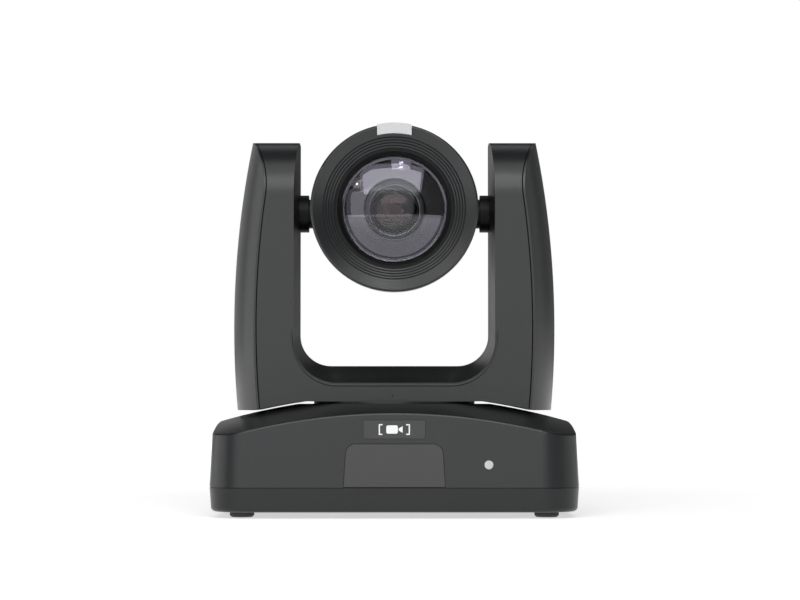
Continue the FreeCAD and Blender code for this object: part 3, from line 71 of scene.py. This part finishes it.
class Signal:
    # a node's output that can be written into sums
    def __init__(self, paint, socket):
        self.paint = paint
        self.socket = socket

    def sum(self, operation, first, second=0.0, clamp=False):
        return self.paint.add("ShaderNodeMath", {"operation": operation, "use_clamp": clamp}, {0: first, 1: second})

    def __add__(self, other):
        return self.sum("ADD", self, other)

    def __radd__(self, other):
        return self.sum("ADD", other, self)

    def __sub__(self, other):
        return self.sum("SUBTRACT", self, other)

    def __rsub__(self, other):
        return self.sum("SUBTRACT", other, self)

    def __mul__(self, other):
        return self.sum("MULTIPLY", self, other)

    def __rmul__(self, other):
        return self.sum("MULTIPLY", other, self)

    def __truediv__(self, other):
        return self.sum("DIVIDE", self, other)

    def __pow__(self, other):
        return self.sum("POWER", self, other)

    def __gt__(self, other):
        return self.sum("GREATER_THAN", self, other)

    def __lt__(self, other):
        return self.sum("LESS_THAN", self, other)

    def held(self):
        return self.sum("ADD", self, 0.0, clamp=True)


class Paint:
    # one material and the nodes in it
    def __init__(self, name):
        self.material = bpy.data.materials.new(name)
        self.material.use_nodes = True
        self.tree = self.material.node_tree
        self.tree.nodes.clear()
        self.place = self.add("ShaderNodeTexCoord", {}, {}, "Object")

    def add(self, kind, settings, sockets, output=0):
        node = self.tree.nodes.new(kind)
        for name, value in settings.items():
            setattr(node, name, value)
        for name, value in sockets.items():
            if isinstance(value, Signal):
                self.tree.links.new(value.socket, node.inputs[name])
            else:
                node.inputs[name].default_value = value
        return Signal(self, node.outputs[output]) if output is not None else None

    def mixed(self, mask, first, second):
        first, second = [shade + (1,) if isinstance(shade, tuple) else shade for shade in (first, second)]
        return self.add("ShaderNodeMix", {"data_type": "RGBA"}, {0: mask, 6: first, 7: second}, 2)

    def noise(self, scale, detail=2.0, roughness=0.5):
        return self.add("ShaderNodeTexNoise", {}, {"Vector": self.place, "Scale": scale, "Detail": detail,
                                                   "Roughness": roughness})

    def grains(self, scale):
        return self.add("ShaderNodeTexVoronoi", {"feature": "F1"}, {"Vector": self.place, "Scale": scale})

    def axes(self):
        return [self.add("ShaderNodeSeparateXYZ", {}, {"Vector": self.place}, n) for n in range(3)]

    def bump(self, height, distance):
        return self.add("ShaderNodeBump", {}, {"Height": height, "Distance": distance, "Strength": 1.0})

    def finish(self, **sockets):
        named = {name.replace("_", " "): value for name, value in sockets.items()}
        for name, value in named.items():
            if isinstance(value, tuple) and len(value) == 3:
                named[name] = value + (1,)
        shader = self.add("ShaderNodeBsdfPrincipled", {}, named)
        self.add("ShaderNodeOutputMaterial", {}, {"Surface": shader}, None)
        return self.material


mouldSkin = {"fineOverSpark": 1.7, "handled": 60.0, "driftFrom": 0.35, "fineShade": 0.5, "fineFrom": 0.1,
             "sparkHeight": 0.7, "fineHeight": 0.5}


def mouldedPlastic(name, look):
    # moulded plastic: spark texture, a slow drift of shade, and slight polish where hands rub it
    paint = Paint(name)
    spark = paint.grains(look["spark"])
    fine = paint.noise(look["spark"] * mouldSkin["fineOverSpark"], detail=3.0, roughness=0.6)
    drift = paint.noise(look["drift"], detail=3.0)
    handled = paint.noise(mouldSkin["handled"], detail=4.0, roughness=0.55)
    shade = paint.mixed((drift - mouldSkin["driftFrom"]).held(), look["dark"], look["light"])
    shade = paint.mixed((fine * mouldSkin["fineShade"] - mouldSkin["fineFrom"]).held(), shade, look["light"])
    relief = paint.bump(spark * mouldSkin["sparkHeight"] + fine * mouldSkin["fineHeight"], look["depth"])
    return paint.finish(Base_Color=shade, Roughness=look["rough"] + (handled - noiseMiddle) * look["roughSpread"],
                        Normal=relief, IOR=1.5, Specular_IOR_Level=look["gloss"])


# "depth" is the height of a finish's relief, in metres; noise scales are waves a metre
casingLook = {"dark": (0.0110, 0.0120, 0.0128), "light": (0.0140, 0.0153, 0.0162), "spark": 3400.0,
              "depth": 0.000012, "drift": 14.0, "rough": 0.30, "roughSpread": 0.07, "gloss": 0.5}
trayLook = {"dark": (0.0085, 0.0093, 0.0099), "light": (0.0110, 0.0119, 0.0125), "spark": 2800.0,
            "depth": 0.000014, "drift": 12.0, "rough": 0.34, "roughSpread": 0.07, "gloss": 0.42}
innerLook = {"dark": (0.0035, 0.0035, 0.0038), "light": (0.0058, 0.0058, 0.0061), "spark": 3000.0,
             "depth": 0.00002, "drift": 20.0, "rough": 0.42, "roughSpread": 0.12, "gloss": 0.20}
badgeLook = {"dark": (0.030, 0.031, 0.032), "light": (0.035, 0.036, 0.037), "spark": 5200.0,
             "depth": 0.000006, "drift": 30.0, "rough": 0.36, "roughSpread": 0.06, "gloss": 0.5}

windowLook = {"dark": (0.034, 0.034, 0.034), "light": (0.040, 0.040, 0.040), "cloud": 30.0, "fine": 2600.0,
              "depth": 0.000008, "rough": 0.30, "roughSpread": 0.06}


def smokedWindow(name, look):
    # infrared window: even smoked plastic, faintly clouded
    paint = Paint(name)
    cloud = paint.noise(look["cloud"], detail=4.0)
    fine = paint.noise(look["fine"])
    return paint.finish(Base_Color=paint.mixed(cloud, look["dark"], look["light"]),
                        Roughness=look["rough"] + (cloud - noiseMiddle) * look["roughSpread"],
                        Normal=paint.bump(fine, look["depth"]), IOR=1.5, Specular_IOR_Level=0.5)


lampLook = {"dark": (0.46, 0.46, 0.47), "light": (0.51, 0.51, 0.52), "glow": 0.06, "cloud": 220.0, "fine": 1800.0,
            "depth": 0.00001, "rough": 0.30, "roughSpread": 0.10}


def lampPlasticPaintedGlow(name, look):
    # light diffuser: milky plastic, given a faint painted glow in its own colour
    paint = Paint(name)
    cloud = paint.noise(look["cloud"], detail=3.0)
    fine = paint.noise(look["fine"])
    return paint.finish(Base_Color=paint.mixed(cloud, look["dark"], look["light"]),
                        Roughness=look["rough"] + cloud * look["roughSpread"],
                        Normal=paint.bump(fine, look["depth"]), IOR=1.5,
                        # painted glow: the diffuser emits its own grey, which makes it look brighter than the lamps
                        # make it
                        Emission_Color=paint.mixed(cloud, look["dark"], look["light"]),
                        Emission_Strength=look["glow"])


rubberLook = {"clean": (0.055, 0.055, 0.054), "dusty": (0.100, 0.098, 0.095), "fine": 1500.0, "dust": 90.0,
              "dustFrom": 0.45, "depth": 0.00003, "rough": 0.72, "roughSpread": 0.2}


def softRubber(name, look):
    # matt rubber with dust in patches
    paint = Paint(name)
    fine = paint.noise(look["fine"], detail=4.0, roughness=0.65)
    dust = paint.noise(look["dust"], detail=5.0, roughness=0.6)
    return paint.finish(Base_Color=paint.mixed((dust - look["dustFrom"]).held(), look["clean"], look["dusty"]),
                        Roughness=look["rough"] + (fine - noiseMiddle) * look["roughSpread"],
                        Normal=paint.bump(fine, look["depth"]), IOR=1.5)


metalSkin = {"scratches": (900.0, 900.0, 9000.0), "tarnish": 120.0, "tarnishFrom": 0.4, "metal": 0.94,
             "metalSpread": 0.06, "scratchRough": 0.14, "tarnishRough": 0.15, "depth": 0.000012}


def platedMetal(name, look):
    # turned or stamped metal: fine scratches, a little tarnish
    paint = Paint(name)
    drawn = paint.add("ShaderNodeMapping", {}, {"Vector": paint.place, "Scale": metalSkin["scratches"]})
    scratch = paint.add("ShaderNodeTexNoise", {}, {"Vector": drawn, "Scale": 1.0, "Detail": 3.0})
    tarnish = paint.noise(metalSkin["tarnish"], detail=5.0, roughness=0.6)
    shade = paint.mixed((tarnish - metalSkin["tarnishFrom"]).held(), look["clean"], look["dull"])
    uneven = scratch * metalSkin["scratchRough"] + (tarnish - noiseMiddle) * metalSkin["tarnishRough"]
    return paint.finish(Base_Color=shade, Metallic=metalSkin["metal"] + tarnish * metalSkin["metalSpread"],
                        Roughness=look["rough"] + uneven, Normal=paint.bump(scratch, metalSkin["depth"]))


boardLook = {"resist": (0.010, 0.070, 0.032), "covered": (0.035, 0.16, 0.065), "runScale": 260.0, "runEdge": 0.62,
             "runShade": 0.7, "padScale": 320.0, "padSize": 0.16, "padShade": 0.8, "depth": 0.00003,
             "wander": 140.0, "rough": 0.38, "roughSpread": 0.12}


def circuitBoard(name, look):
    # solder resist over copper runs, with bare pads
    paint = Paint(name)
    wander = paint.noise(look["wander"], detail=1.0)
    runs = paint.add("ShaderNodeTexWave", {"wave_type": "BANDS"}, {
        "Vector": paint.place, "Scale": look["runScale"], "Distortion": 6.0, "Detail": 0.0, "Detail Scale": 0.6})
    pads = paint.grains(look["padScale"]) < look["padSize"]
    copper = ((runs > look["runEdge"]) * look["runShade"] + pads * look["padShade"]).held()
    return paint.finish(Base_Color=paint.mixed(copper, look["resist"], look["covered"]),
                        Metallic=pads * look["padShade"], Roughness=look["rough"] + wander * look["roughSpread"],
                        Normal=paint.bump(copper, look["depth"]))


blackSkin = {"fine": 2200.0, "roughSpread": 0.14, "ringHeight": 0.7, "fineHeight": 0.3}


def anodisedBlack(name, look):
    # lens tube: dead black, with fine turned rings round the lens axis
    paint = Paint(name)
    rings = paint.add("ShaderNodeTexWave", {"wave_type": "BANDS", "bands_direction": "Y"},
                      {"Vector": paint.place, "Scale": look["rings"], "Distortion": 0.0})
    fine = paint.noise(blackSkin["fine"], detail=3.0)
    relief = rings * blackSkin["ringHeight"] + fine * blackSkin["fineHeight"]
    return paint.finish(Base_Color=paint.mixed(fine, look["dark"], look["light"]),
                        Roughness=look["rough"] + (fine - noiseMiddle) * blackSkin["roughSpread"],
                        Normal=paint.bump(relief, look["depth"]), IOR=1.5, Specular_IOR_Level=look["gloss"])


lensLow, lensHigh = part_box("front_lens")
lensAxis = (lensLow.z + lensHigh.z) / 2
coatSkin = {"haze": 90.0, "hazeTint": 0.08, "rimPower": 4.0, "collarFade": 0.5}
noCollar = {"collarStart": 99.0, "collar": 0.0}  # mm: past every rim


def coatedGlass(name, coat):
    # a glass face: mostly clear, its coating seen only in what it mirrors, stronger towards the rim;
    # "mirror" is that share, and "collar" is added to it from the radius "collarStart" (mm) outwards
    look = noCollar | coat
    paint = Paint(name)
    x, _, z = paint.axes()
    up = z - lensAxis
    radius = ((x * x + up * up) ** 0.5) / look["radius"]
    haze = paint.noise(coatSkin["haze"])
    tint = paint.mixed((radius + (haze - noiseMiddle) * coatSkin["hazeTint"]).held(), look["centre"], look["rim"])
    collar = ((radius * look["radius"] / mm - look["collarStart"]) / coatSkin["collarFade"]).held()
    mirror = look["mirror"] + (radius ** coatSkin["rimPower"]) * look["rimMirror"] + collar * look["collar"]
    return paint.finish(Base_Color=tint, Metallic=1.0, Roughness=look["rough"], Alpha=mirror.held())


alloyLook = {"dark": (0.42, 0.43, 0.44), "light": (0.58, 0.59, 0.60), "skin": 700.0, "cloud": 60.0,
             "depth": 0.00006, "rough": 0.38, "roughSpread": 0.2, "metal": 0.9, "metalSpread": 0.1}


def castAlloy(name, look):
    # die-cast frame metal, sandy and dull
    paint = Paint(name)
    skin = paint.noise(look["skin"], detail=5.0, roughness=0.65)
    cloud = paint.noise(look["cloud"], detail=3.0)
    return paint.finish(Base_Color=paint.mixed(cloud, look["dark"], look["light"]),
                        Metallic=look["metal"] + cloud * look["metalSpread"],
                        Roughness=look["rough"] + skin * look["roughSpread"], Normal=paint.bump(skin, look["depth"]))


acetalLook = {"dark": (0.62, 0.60, 0.54), "light": (0.72, 0.70, 0.64), "cloud": 80.0, "fine": 1500.0,
              "depth": 0.00001, "rough": 0.40, "roughSpread": 0.1}


def acetal(name, look):
    # cream gear plastic
    paint = Paint(name)
    cloud = paint.noise(look["cloud"], detail=3.0)
    fine = paint.noise(look["fine"])
    return paint.finish(Base_Color=paint.mixed(cloud, look["dark"], look["light"]),
                        Roughness=look["rough"] + fine * look["roughSpread"],
                        Normal=paint.bump(fine, look["depth"]), IOR=1.48)


finishes = {
    "casing": mouldedPlastic("casingPlastic", casingLook),
    "tray": mouldedPlastic("trayPlastic", trayLook),
    "black_plastic": mouldedPlastic("innerBlackPlastic", innerLook),
    "window": smokedWindow("smokedWindowPlastic", windowLook),
    "badge": mouldedPlastic("badgePlate", badgeLook),
    "lamp": lampPlasticPaintedGlow("lampPlasticPaintedGlow", lampLook),
    "rubber": softRubber("footRubber", rubberLook),
    "steel": platedMetal("platedSteel", {"clean": (0.52, 0.52, 0.53), "dull": (0.34, 0.33, 0.32), "rough": 0.24}),
    "brass": platedMetal("insertBrass", {"clean": (0.70, 0.50, 0.22), "dull": (0.46, 0.31, 0.14), "rough": 0.28}),
    "aluminium": castAlloy("castAluminium", alloyLook),
    "board": circuitBoard("circuitBoard", boardLook),
    "gear_plastic": acetal("acetalGear", acetalLook),
    "lens_black": anodisedBlack("anodisedLensTube", {"dark": (0.0030, 0.0032, 0.0042),
                                                     "light": (0.0055, 0.0057, 0.0070), "rings": 180.0,
                                                     "rough": 0.46, "depth": 0.00006, "gloss": 0.22}),
    "glass": coatedGlass("plainGlassCoat", {"radius": 0.012, "rough": 0.03, "mirror": 0.02, "rimMirror": 0.02,
                                            "centre": (0.7, 0.75, 0.8), "rim": (0.5, 0.7, 0.8)}),
}


def wear(thing, material):
    thing.data.materials.clear()
    thing.data.materials.append(material)


for subpart in frame["record"]["subparts"]:
    wear(nodes[subpart["node"]], finishes[subpart["material_slot"]])
print("finishes on the carried parts:", len(finishes))


# the optics seen through the front: each element is turned about the lens axis
def turnedRing(name, look, axisHeight):
    # look["profile"] lists (y, radius) in mm; where there are several materials, look["which"] picks one of them
    # for a face from its own y and radius
    ring = bmesh.new()
    line = [ring.verts.new((0, y * mm, axisHeight + radius * mm)) for y, radius in look["profile"]]
    if look.get("closed"):
        line.append(line[0])
    edges = [ring.edges.new(pair) for pair in zip(line, line[1:])]
    bmesh.ops.spin(ring, geom=list(ring.verts) + edges, cent=(0, 0, axisHeight), axis=(0, 1, 0),
                   angle=math.tau, steps=look.get("steps", 128), use_merge=True)
    bmesh.ops.remove_doubles(ring, verts=ring.verts, dist=weld)
    bmesh.ops.recalc_face_normals(ring, faces=ring.faces)
    data = bpy.data.meshes.new(name)
    for material in look["materials"]:
        data.materials.append(material)
    for face in ring.faces:
        face.smooth = True
        if len(look["materials"]) > 1:
            middle = face.calc_center_median()
            face.material_index = look["which"](middle.y / mm, math.hypot(middle.x, middle.z - axisHeight) / mm)
    ring.to_mesh(data)
    ring.free()
    piece = bpy.data.objects.new(name, data)
    scene.collection.objects.link(piece)
    return piece


capSteps = 14  # rings of faces from a lens face's middle to its rim


def cap(apex, curve, rim):
    # a spherical face from the axis out to its rim; a negative curve bulges to the rear
    profile = []
    for n in range(capSteps + 1):
        radius = rim * n / capSteps
        fall = abs(curve) - math.sqrt(curve * curve - radius * radius)
        profile.append((apex + math.copysign(fall, curve), radius))
    return profile


def lensElement(name, look):
    # both faces are coated glass, each with its own coat, and the ground edge between them is blackened
    front = cap(look["front"], look["frontCurve"], look["rim"])
    back = cap(look["back"], look["backCurve"], look["rim"])
    look["profile"] = front + back[::-1]
    halfway = [(ahead + behind) / 2 for (ahead, _), (behind, _) in zip(front, back)]

    def which(y, radius):
        if radius > look["rim"] - look["edgeMargin"]:
            return 2
        return 0 if y < halfway[round(radius / look["rim"] * capSteps)] else 1
    look["which"] = which
    look["materials"] = [coatedGlass(name + "Front", look["frontCoat"]),
                         coatedGlass(name + "Back", look["backCoat"]), finishes["lens_black"]]
    piece = turnedRing(name, look, lensAxis)
    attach(piece, "head")
    return piece


frontElement = {
    "front": -48.2, "frontCurve": 66.0, "back": -45.4, "backCurve": 60.0, "rim": 26.2, "edgeMargin": 0.05,
    "frontCoat": {"radius": 0.0262, "rough": 0.015, "mirror": 0.030, "rimMirror": 0.01,
                  "centre": (0.90, 0.89, 0.96), "rim": (0.82, 0.72, 0.98)},
    "backCoat": {"radius": 0.0262, "rough": 0.03, "mirror": 0.006, "rimMirror": 0.01,
                 "collarStart": 14.9, "collar": 0.074,
                 "centre": (0.86, 0.88, 0.92), "rim": (0.80, 0.80, 0.92)}}
secondElement = {
    "front": -41.2, "frontCurve": 60.0, "back": -33.6, "backCurve": -40.0, "rim": 18.0, "edgeMargin": 0.05,
    "frontCoat": {"radius": 0.018, "rough": 0.02, "mirror": 0.008, "rimMirror": 0.0,
                  "centre": (0.86, 0.92, 0.90), "rim": (0.70, 0.90, 0.86)},
    "backCoat": {"radius": 0.018, "rough": 0.05, "mirror": 0.003, "rimMirror": 0.0,
                 "centre": (0.40, 0.95, 0.55), "rim": (0.15, 0.85, 0.60)}}
innerElement = {
    "front": -32.4, "frontCurve": 28.0, "back": -27.5, "backCurve": -26.0, "rim": 12.2, "edgeMargin": 0.05,
    "frontCoat": {"radius": 0.0122, "rough": 0.03, "mirror": 0.028, "rimMirror": 0.005,
                  "centre": (1.00, 0.55, 0.50), "rim": (0.90, 0.80, 0.85)},
    "backCoat": {"radius": 0.0122, "rough": 0.04, "mirror": 0.005, "rimMirror": 0.0,
                 "centre": (1.00, 0.45, 0.75), "rim": (0.80, 0.30, 0.70)}}
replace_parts(lensElement("frontElement", frontElement), "front_lens")
lensElement("secondElement", secondElement)
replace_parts(lensElement("innerElement", innerElement), "inner_lens")

retainerBlack = anodisedBlack("retainerBlack", {"dark": (0.007, 0.007, 0.008), "light": (0.011, 0.011, 0.012),
                                                "rings": 60.0, "rough": 0.40, "depth": 0.00002, "gloss": 0.25})
polishedEdge = platedMetal("polishedEdge", {"clean": (0.30, 0.29, 0.30), "dull": (0.20, 0.20, 0.21), "rough": 0.20})
retainerLip = {"radius": 12.7, "front": -35.0}  # mm: the small polished chamfer inside and ahead of these


def retainerFinish(y, radius):
    return 1 if radius < retainerLip["radius"] and y < retainerLip["front"] else 0


retainingRing = {"profile": [(-33.6, 14.9), (-35.2, 14.9), (-35.4, 14.7), (-35.4, 12.75), (-35.3, 12.55),
                             (-35.05, 12.42), (-33.6, 12.42)],
                 "materials": [retainerBlack, polishedEdge], "which": retainerFinish, "closed": True}
apertureRing = {"profile": [(-25.6, 4.00), (-26.2, 4.02), (-26.4, 4.15), (-26.45, 4.32), (-26.4, 4.50), (-26.2, 4.62),
                            (-25.6, 4.64)],
                "materials": [polishedEdge], "closed": True, "steps": 96}
for ringName, look in (("retainingRing", retainingRing), ("apertureRing", apertureRing)):
    ring = turnedRing(ringName, look, lensAxis)
    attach(ring, "head")
print("lens elements ground")

inFront = -0.5  # m: a start for the rays, ahead of the whole camera


# small marks that lie on a carried part: each is cut flat, then laid on the face behind it
def laidMark(name, look, carrier, body, material):
    # tiles are (across, up, width, height, corner round) and wedges (across, up, length, height at the near end,
    # height at the far end), all in mm from the mark's middle
    mark = bmesh.new()
    for across, up, wide, high, corner in look["tiles"]:
        grid = bmesh.ops.create_grid(mark, x_segments=1, y_segments=1, size=mm / 2)["verts"]
        bmesh.ops.scale(mark, verts=grid, vec=(wide, high, 1))
        bmesh.ops.rotate(mark, verts=grid, cent=(0, 0, 0), matrix=Matrix.Rotation(math.radians(90), 3, "X"))
        bmesh.ops.translate(mark, verts=grid, vec=((look["x"] + across) * mm, 0, (look["z"] + up) * mm))
        if corner:
            bmesh.ops.bevel(mark, geom=grid, offset=corner * mm, segments=look["cornerSteps"], profile=0.5,
                            affect="VERTICES", material=-1)
    for across, up, wide, near, far in look.get("wedges", ()):
        corners = [mark.verts.new(((look["x"] + across + x) * mm, 0, (look["z"] + up + z) * mm))
                   for x, z in ((0, -near / 2), (wide, -far / 2), (wide, far / 2), (0, near / 2))]
        mark.faces.new(corners)
    thick = bmesh.ops.extrude_face_region(mark, geom=list(mark.faces))
    raised = [v for v in thick["geom"] if isinstance(v, bmesh.types.BMVert)]
    bmesh.ops.translate(mark, verts=raised, vec=(0, -look["thick"] * mm, 0))
    for vert in mark.verts:
        hit, place, *_ = nodes[carrier].ray_cast(Vector((vert.co.x, inFront, vert.co.z)), Vector((0, 1, 0)))
        if hit:
            vert.co.y += place.y + look["sunk"] * mm
    bmesh.ops.recalc_face_normals(mark, faces=mark.faces)
    data = bpy.data.meshes.new(name)
    mark.to_mesh(data)
    mark.free()
    data.materials.append(material)
    piece = bpy.data.objects.new(name, data)
    scene.collection.objects.link(piece)
    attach(piece, body)
    return piece


badgeLow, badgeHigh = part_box("badge_plate")
badgeMark = {"x": 0.0, "z": (badgeLow.z + badgeHigh.z) / 2 / mm, "thick": 0.16, "sunk": 0.06, "cornerSteps": 5,
             "tiles": [(-1.1, 0.0, 5.6, 4.0, 0.9), (-7.2, 0.0, 0.6, 5.2, 0.15), (7.2, 0.0, 0.6, 5.2, 0.15),
                       (-6.3, 2.3, 1.2, 0.6, 0.15), (-6.3, -2.3, 1.2, 0.6, 0.15), (6.3, 2.3, 1.2, 0.6, 0.15),
                       (6.3, -2.3, 1.2, 0.6, 0.15)],
             "wedges": [(2.1, 0.0, 1.9, 1.0, 3.2)]}
# white print ink, with a faint painted glow laid over it so that it looks brighter than the lamps make it
inkLook = {"dark": (0.70, 0.70, 0.71), "light": (0.78, 0.78, 0.79), "grain": 2400.0, "rough": 0.42,
           "roughSpread": 0.1, "glow": (0.8, 0.8, 0.8), "glowStrength": 0.10}
inkWithPaintedGlow = Paint("inkWithPaintedGlow")
inkGrain = inkWithPaintedGlow.noise(inkLook["grain"])
whiteInkWithPaintedGlow = inkWithPaintedGlow.finish(Base_Color=inkWithPaintedGlow.mixed(inkGrain, inkLook["dark"], inkLook["light"]),
                          Roughness=inkLook["rough"] + inkGrain * inkLook["roughSpread"],
                          Emission_Color=inkLook["glow"], Emission_Strength=inkLook["glowStrength"])
badgePicture = laidMark("badgePicture", badgeMark, "badge_plate", "base", whiteInkWithPaintedGlow)
homeMark = {"x": -1.0, "z": 59.2, "thick": 0.10, "sunk": 0.05, "cornerSteps": 5,
            "tiles": [(0.0, 0.0, 0.5, 1.7, 0.1)]}
homePicture = laidMark("homeMark", homeMark, "yoke_shell", "yoke", finishes["black_plastic"])
print("marks laid on the badge and the yoke")


# the rolled edge round the lower part of the yoke's mouth, front and back; both ends sink into the arms
def mouthBead(name, look, side):
    bead = bmesh.new()
    ends = look["half"] + look["sunkEnd"]
    y = side * look["face"] * mm

    def grown(edges, step, size=1.0):
        more = bmesh.ops.extrude_edge_only(bead, edges=edges)["geom"]
        fresh = [v for v in more if isinstance(v, bmesh.types.BMVert)]
        bmesh.ops.translate(bead, verts=fresh, vec=step)
        middle = sum((v.co for v in fresh), Vector()) / len(fresh)
        for v in fresh:
            v.co = middle + (v.co - middle) * size
        return [e for e in more if isinstance(e, bmesh.types.BMEdge) and e.verts[0] in fresh and e.verts[1] in fresh]

    def turned(edges, centre):
        verts = list({v for e in edges for v in e.verts})
        last = bmesh.ops.spin(bead, geom=verts + edges, cent=centre, axis=(0, 1, 0), angle=math.radians(-90),
                              steps=look["steps"], use_duplicate=False)["geom_last"]
        fresh = {v for v in last if isinstance(v, bmesh.types.BMVert)}
        return [e for e in bead.edges if e.verts[0] in fresh and e.verts[1] in fresh]

    circle = bmesh.ops.create_circle(bead, cap_ends=False, segments=look["sides"],
                                     radius=look["radius"] * look["tip"] * mm)["verts"]
    bend = (look["floor"] + look["bend"]) * mm
    bmesh.ops.translate(bead, verts=circle, vec=(-ends * mm, y, bend + look["rise"] * mm))
    edges = grown(list(bead.edges), (look["sunkEnd"] * mm, 0, -look["rise"] * mm), 1 / look["tip"])
    edges = turned(edges, ((look["bend"] - look["half"]) * mm, y, bend))
    edges = grown(edges, (2 * (look["half"] - look["bend"]) * mm, 0, 0))
    edges = turned(edges, ((look["half"] - look["bend"]) * mm, y, bend))
    grown(edges, (look["sunkEnd"] * mm, 0, look["rise"] * mm), look["tip"])
    bmesh.ops.holes_fill(bead, edges=[e for e in bead.edges if e.is_boundary])
    bmesh.ops.remove_doubles(bead, verts=bead.verts, dist=weld)
    bmesh.ops.recalc_face_normals(bead, faces=bead.faces)
    data = bpy.data.meshes.new(name)
    for face in bead.faces:
        face.smooth = len(face.verts) == 4
    bead.to_mesh(data)
    bead.free()
    data.materials.append(finishes["casing"])
    piece = bpy.data.objects.new(name, data)
    scene.collection.objects.link(piece)
    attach(piece, "yoke")


# mm: "half" and "floor" are the mouth's, "face" the yoke's, and each end rises by "rise", tapers to "tip" of the
# bead's radius and runs "sunkEnd" into its arm
beadLook = {"half": 50.9, "floor": 64.3, "bend": 22.7, "face": 34.55, "radius": 0.75, "sunkEnd": 1.6, "rise": 16.0,
            "steps": 16, "sides": 16, "tip": 0.3}
for beadName, side in (("mouthBeadFront", -1), ("mouthBeadBack", 1)):
    mouthBead(beadName, beadLook, side)
print("beads rolled round the yoke's mouth")


# the studio: soft panels round a pale table
def lightPanel(name, look):
    lamp = bpy.data.lights.new(name, "AREA")
    lamp.shape = "RECTANGLE"
    lamp.size, lamp.size_y = look["size"]
    lamp.energy = look["power"]
    lamp.color = look.get("colour", (1, 1, 1))
    thing = bpy.data.objects.new(name, lamp)
    place, aim = Vector(look["place"]), Vector(look["aim"])
    thing.location = place
    thing.rotation_euler = (aim - place).to_track_quat("-Z", "Y").to_euler()
    thing.visible_camera = False
    scene.collection.objects.link(thing)


aimMiddle = (0, 0, 0.13)
aimHigh = (0, 0, 0.15)
aimLow = (0, 0, 0.1)


def around(azimuth, elevation, distance):
    # degrees from straight ahead, to the right as the camera is looked at, and degrees above level
    turn, rise = math.radians(azimuth), math.radians(elevation)
    return (aimMiddle[0] + distance * math.sin(turn) * math.cos(rise),
            aimMiddle[1] - distance * math.cos(turn) * math.cos(rise), aimMiddle[2] + distance * math.sin(rise))


studioLights = {
    "frontWall": {"place": around(-13, 9, 2.6), "aim": aimMiddle, "size": (3.0, 1.3), "power": 15.0},
    "frontTop": {"place": around(-3, 33, 2.3), "aim": aimMiddle, "size": (2.3, 1.0), "power": 23},
    "frontHigh": {"place": around(-3, 64, 2.3), "aim": aimMiddle, "size": (2.3, 1.1), "power": 11},
    "topStrip": {"place": around(8, 47, 2.2), "aim": aimHigh, "size": (0.6, 0.24), "power": 1.6},
    "spotHigh": {"place": around(7.7, 46, 2.1), "aim": aimHigh, "size": (0.10, 0.08), "power": 0.6},
    "spotLeft": {"place": around(-40, 28, 2.1), "aim": aimHigh, "size": (0.30, 0.30), "power": 0.6,
                 "colour": (1.0, 0.96, 0.80)},
    "sparkLeft": {"place": around(-40, 28, 2.0), "aim": aimHigh, "size": (0.03, 0.03), "power": 0.30},
    "leftSide": {"place": around(-98, 10, 2.4), "aim": aimLow, "size": (2.5, 1.4), "power": 12.5},
    "rightSide": {"place": around(100, 10, 2.4), "aim": aimLow, "size": (2.3, 1.4), "power": 4.2},
    "backLeft": {"place": around(-154, 9, 2.6), "aim": aimLow, "size": (1.8, 0.8), "power": 2.0},
    "backRight": {"place": around(154, 9, 2.6), "aim": aimLow, "size": (1.8, 0.8), "power": 0.5},
    "backHigh": {"place": around(180, 52, 2.4), "aim": aimHigh, "size": (2.4, 0.9), "power": 3.4},
}
for lightName, look in studioLights.items():
    lightPanel(lightName, look)

# the backdrop is white to the lens alone; what it sheds on the model is faint
world = bpy.data.worlds.new("studioWorld")
world.use_nodes = True
scene.world = world
worldTree = world.node_tree
worldTree.nodes.clear()
worldLook = {"light": 0.03, "seen": 1.0}
seen = worldTree.nodes.new("ShaderNodeLightPath")
lit = worldTree.nodes.new("ShaderNodeBackground")
lit.inputs["Strength"].default_value = worldLook["light"]
backdrop = worldTree.nodes.new("ShaderNodeBackground")
backdrop.inputs["Strength"].default_value = worldLook["seen"]
for background in (lit, backdrop):
    background.inputs["Color"].default_value = (1, 1, 1, 1)
chosen = worldTree.nodes.new("ShaderNodeMixShader")
worldOut = worldTree.nodes.new("ShaderNodeOutputWorld")
worldTree.links.new(seen.outputs["Is Camera Ray"], chosen.inputs[0])
worldTree.links.new(lit.outputs[0], chosen.inputs[1])
worldTree.links.new(backdrop.outputs[0], chosen.inputs[2])
worldTree.links.new(chosen.outputs[0], worldOut.inputs[0])

# the table glows less close to the model, so that its shadow shows, and runs into the backdrop farther out
floorLook = {"radius": 9.0, "sides": 96, "colour": (0.86, 0.86, 0.86), "speckColour": (0.84, 0.84, 0.84),
             "speck": 900.0, "rough": 0.7, "roughSpread": 0.1, "near": (0.58, 0.58, 0.58), "far": (1.0, 1.0, 1.0),
             "nearEdge": 0.20, "fade": 1.2}
floorMesh = bmesh.new()
bmesh.ops.create_circle(floorMesh, cap_ends=True, segments=floorLook["sides"], radius=floorLook["radius"])
floorData = bpy.data.meshes.new("tableTop")
floorMesh.to_mesh(floorData)
floorMesh.free()
floor = bpy.data.objects.new("tableTop", floorData)
scene.collection.objects.link(floor)
floorPaint = Paint("paleTable")
speck = floorPaint.noise(floorLook["speck"], detail=3.0)
tableX, tableY = floorPaint.axes()[:2]
distance = (((tableX * tableX + tableY * tableY) ** 0.5 - floorLook["nearEdge"]) / floorLook["fade"]).held()
floorData.materials.append(floorPaint.finish(
    Base_Color=floorPaint.mixed(speck, floorLook["speckColour"], floorLook["colour"]),
    Roughness=floorLook["rough"] + speck * floorLook["roughSpread"],
    Emission_Color=floorPaint.mixed(distance, floorLook["near"], floorLook["far"]), Emission_Strength=1.0))
print("studio lit by", len(studioLights), "panels")
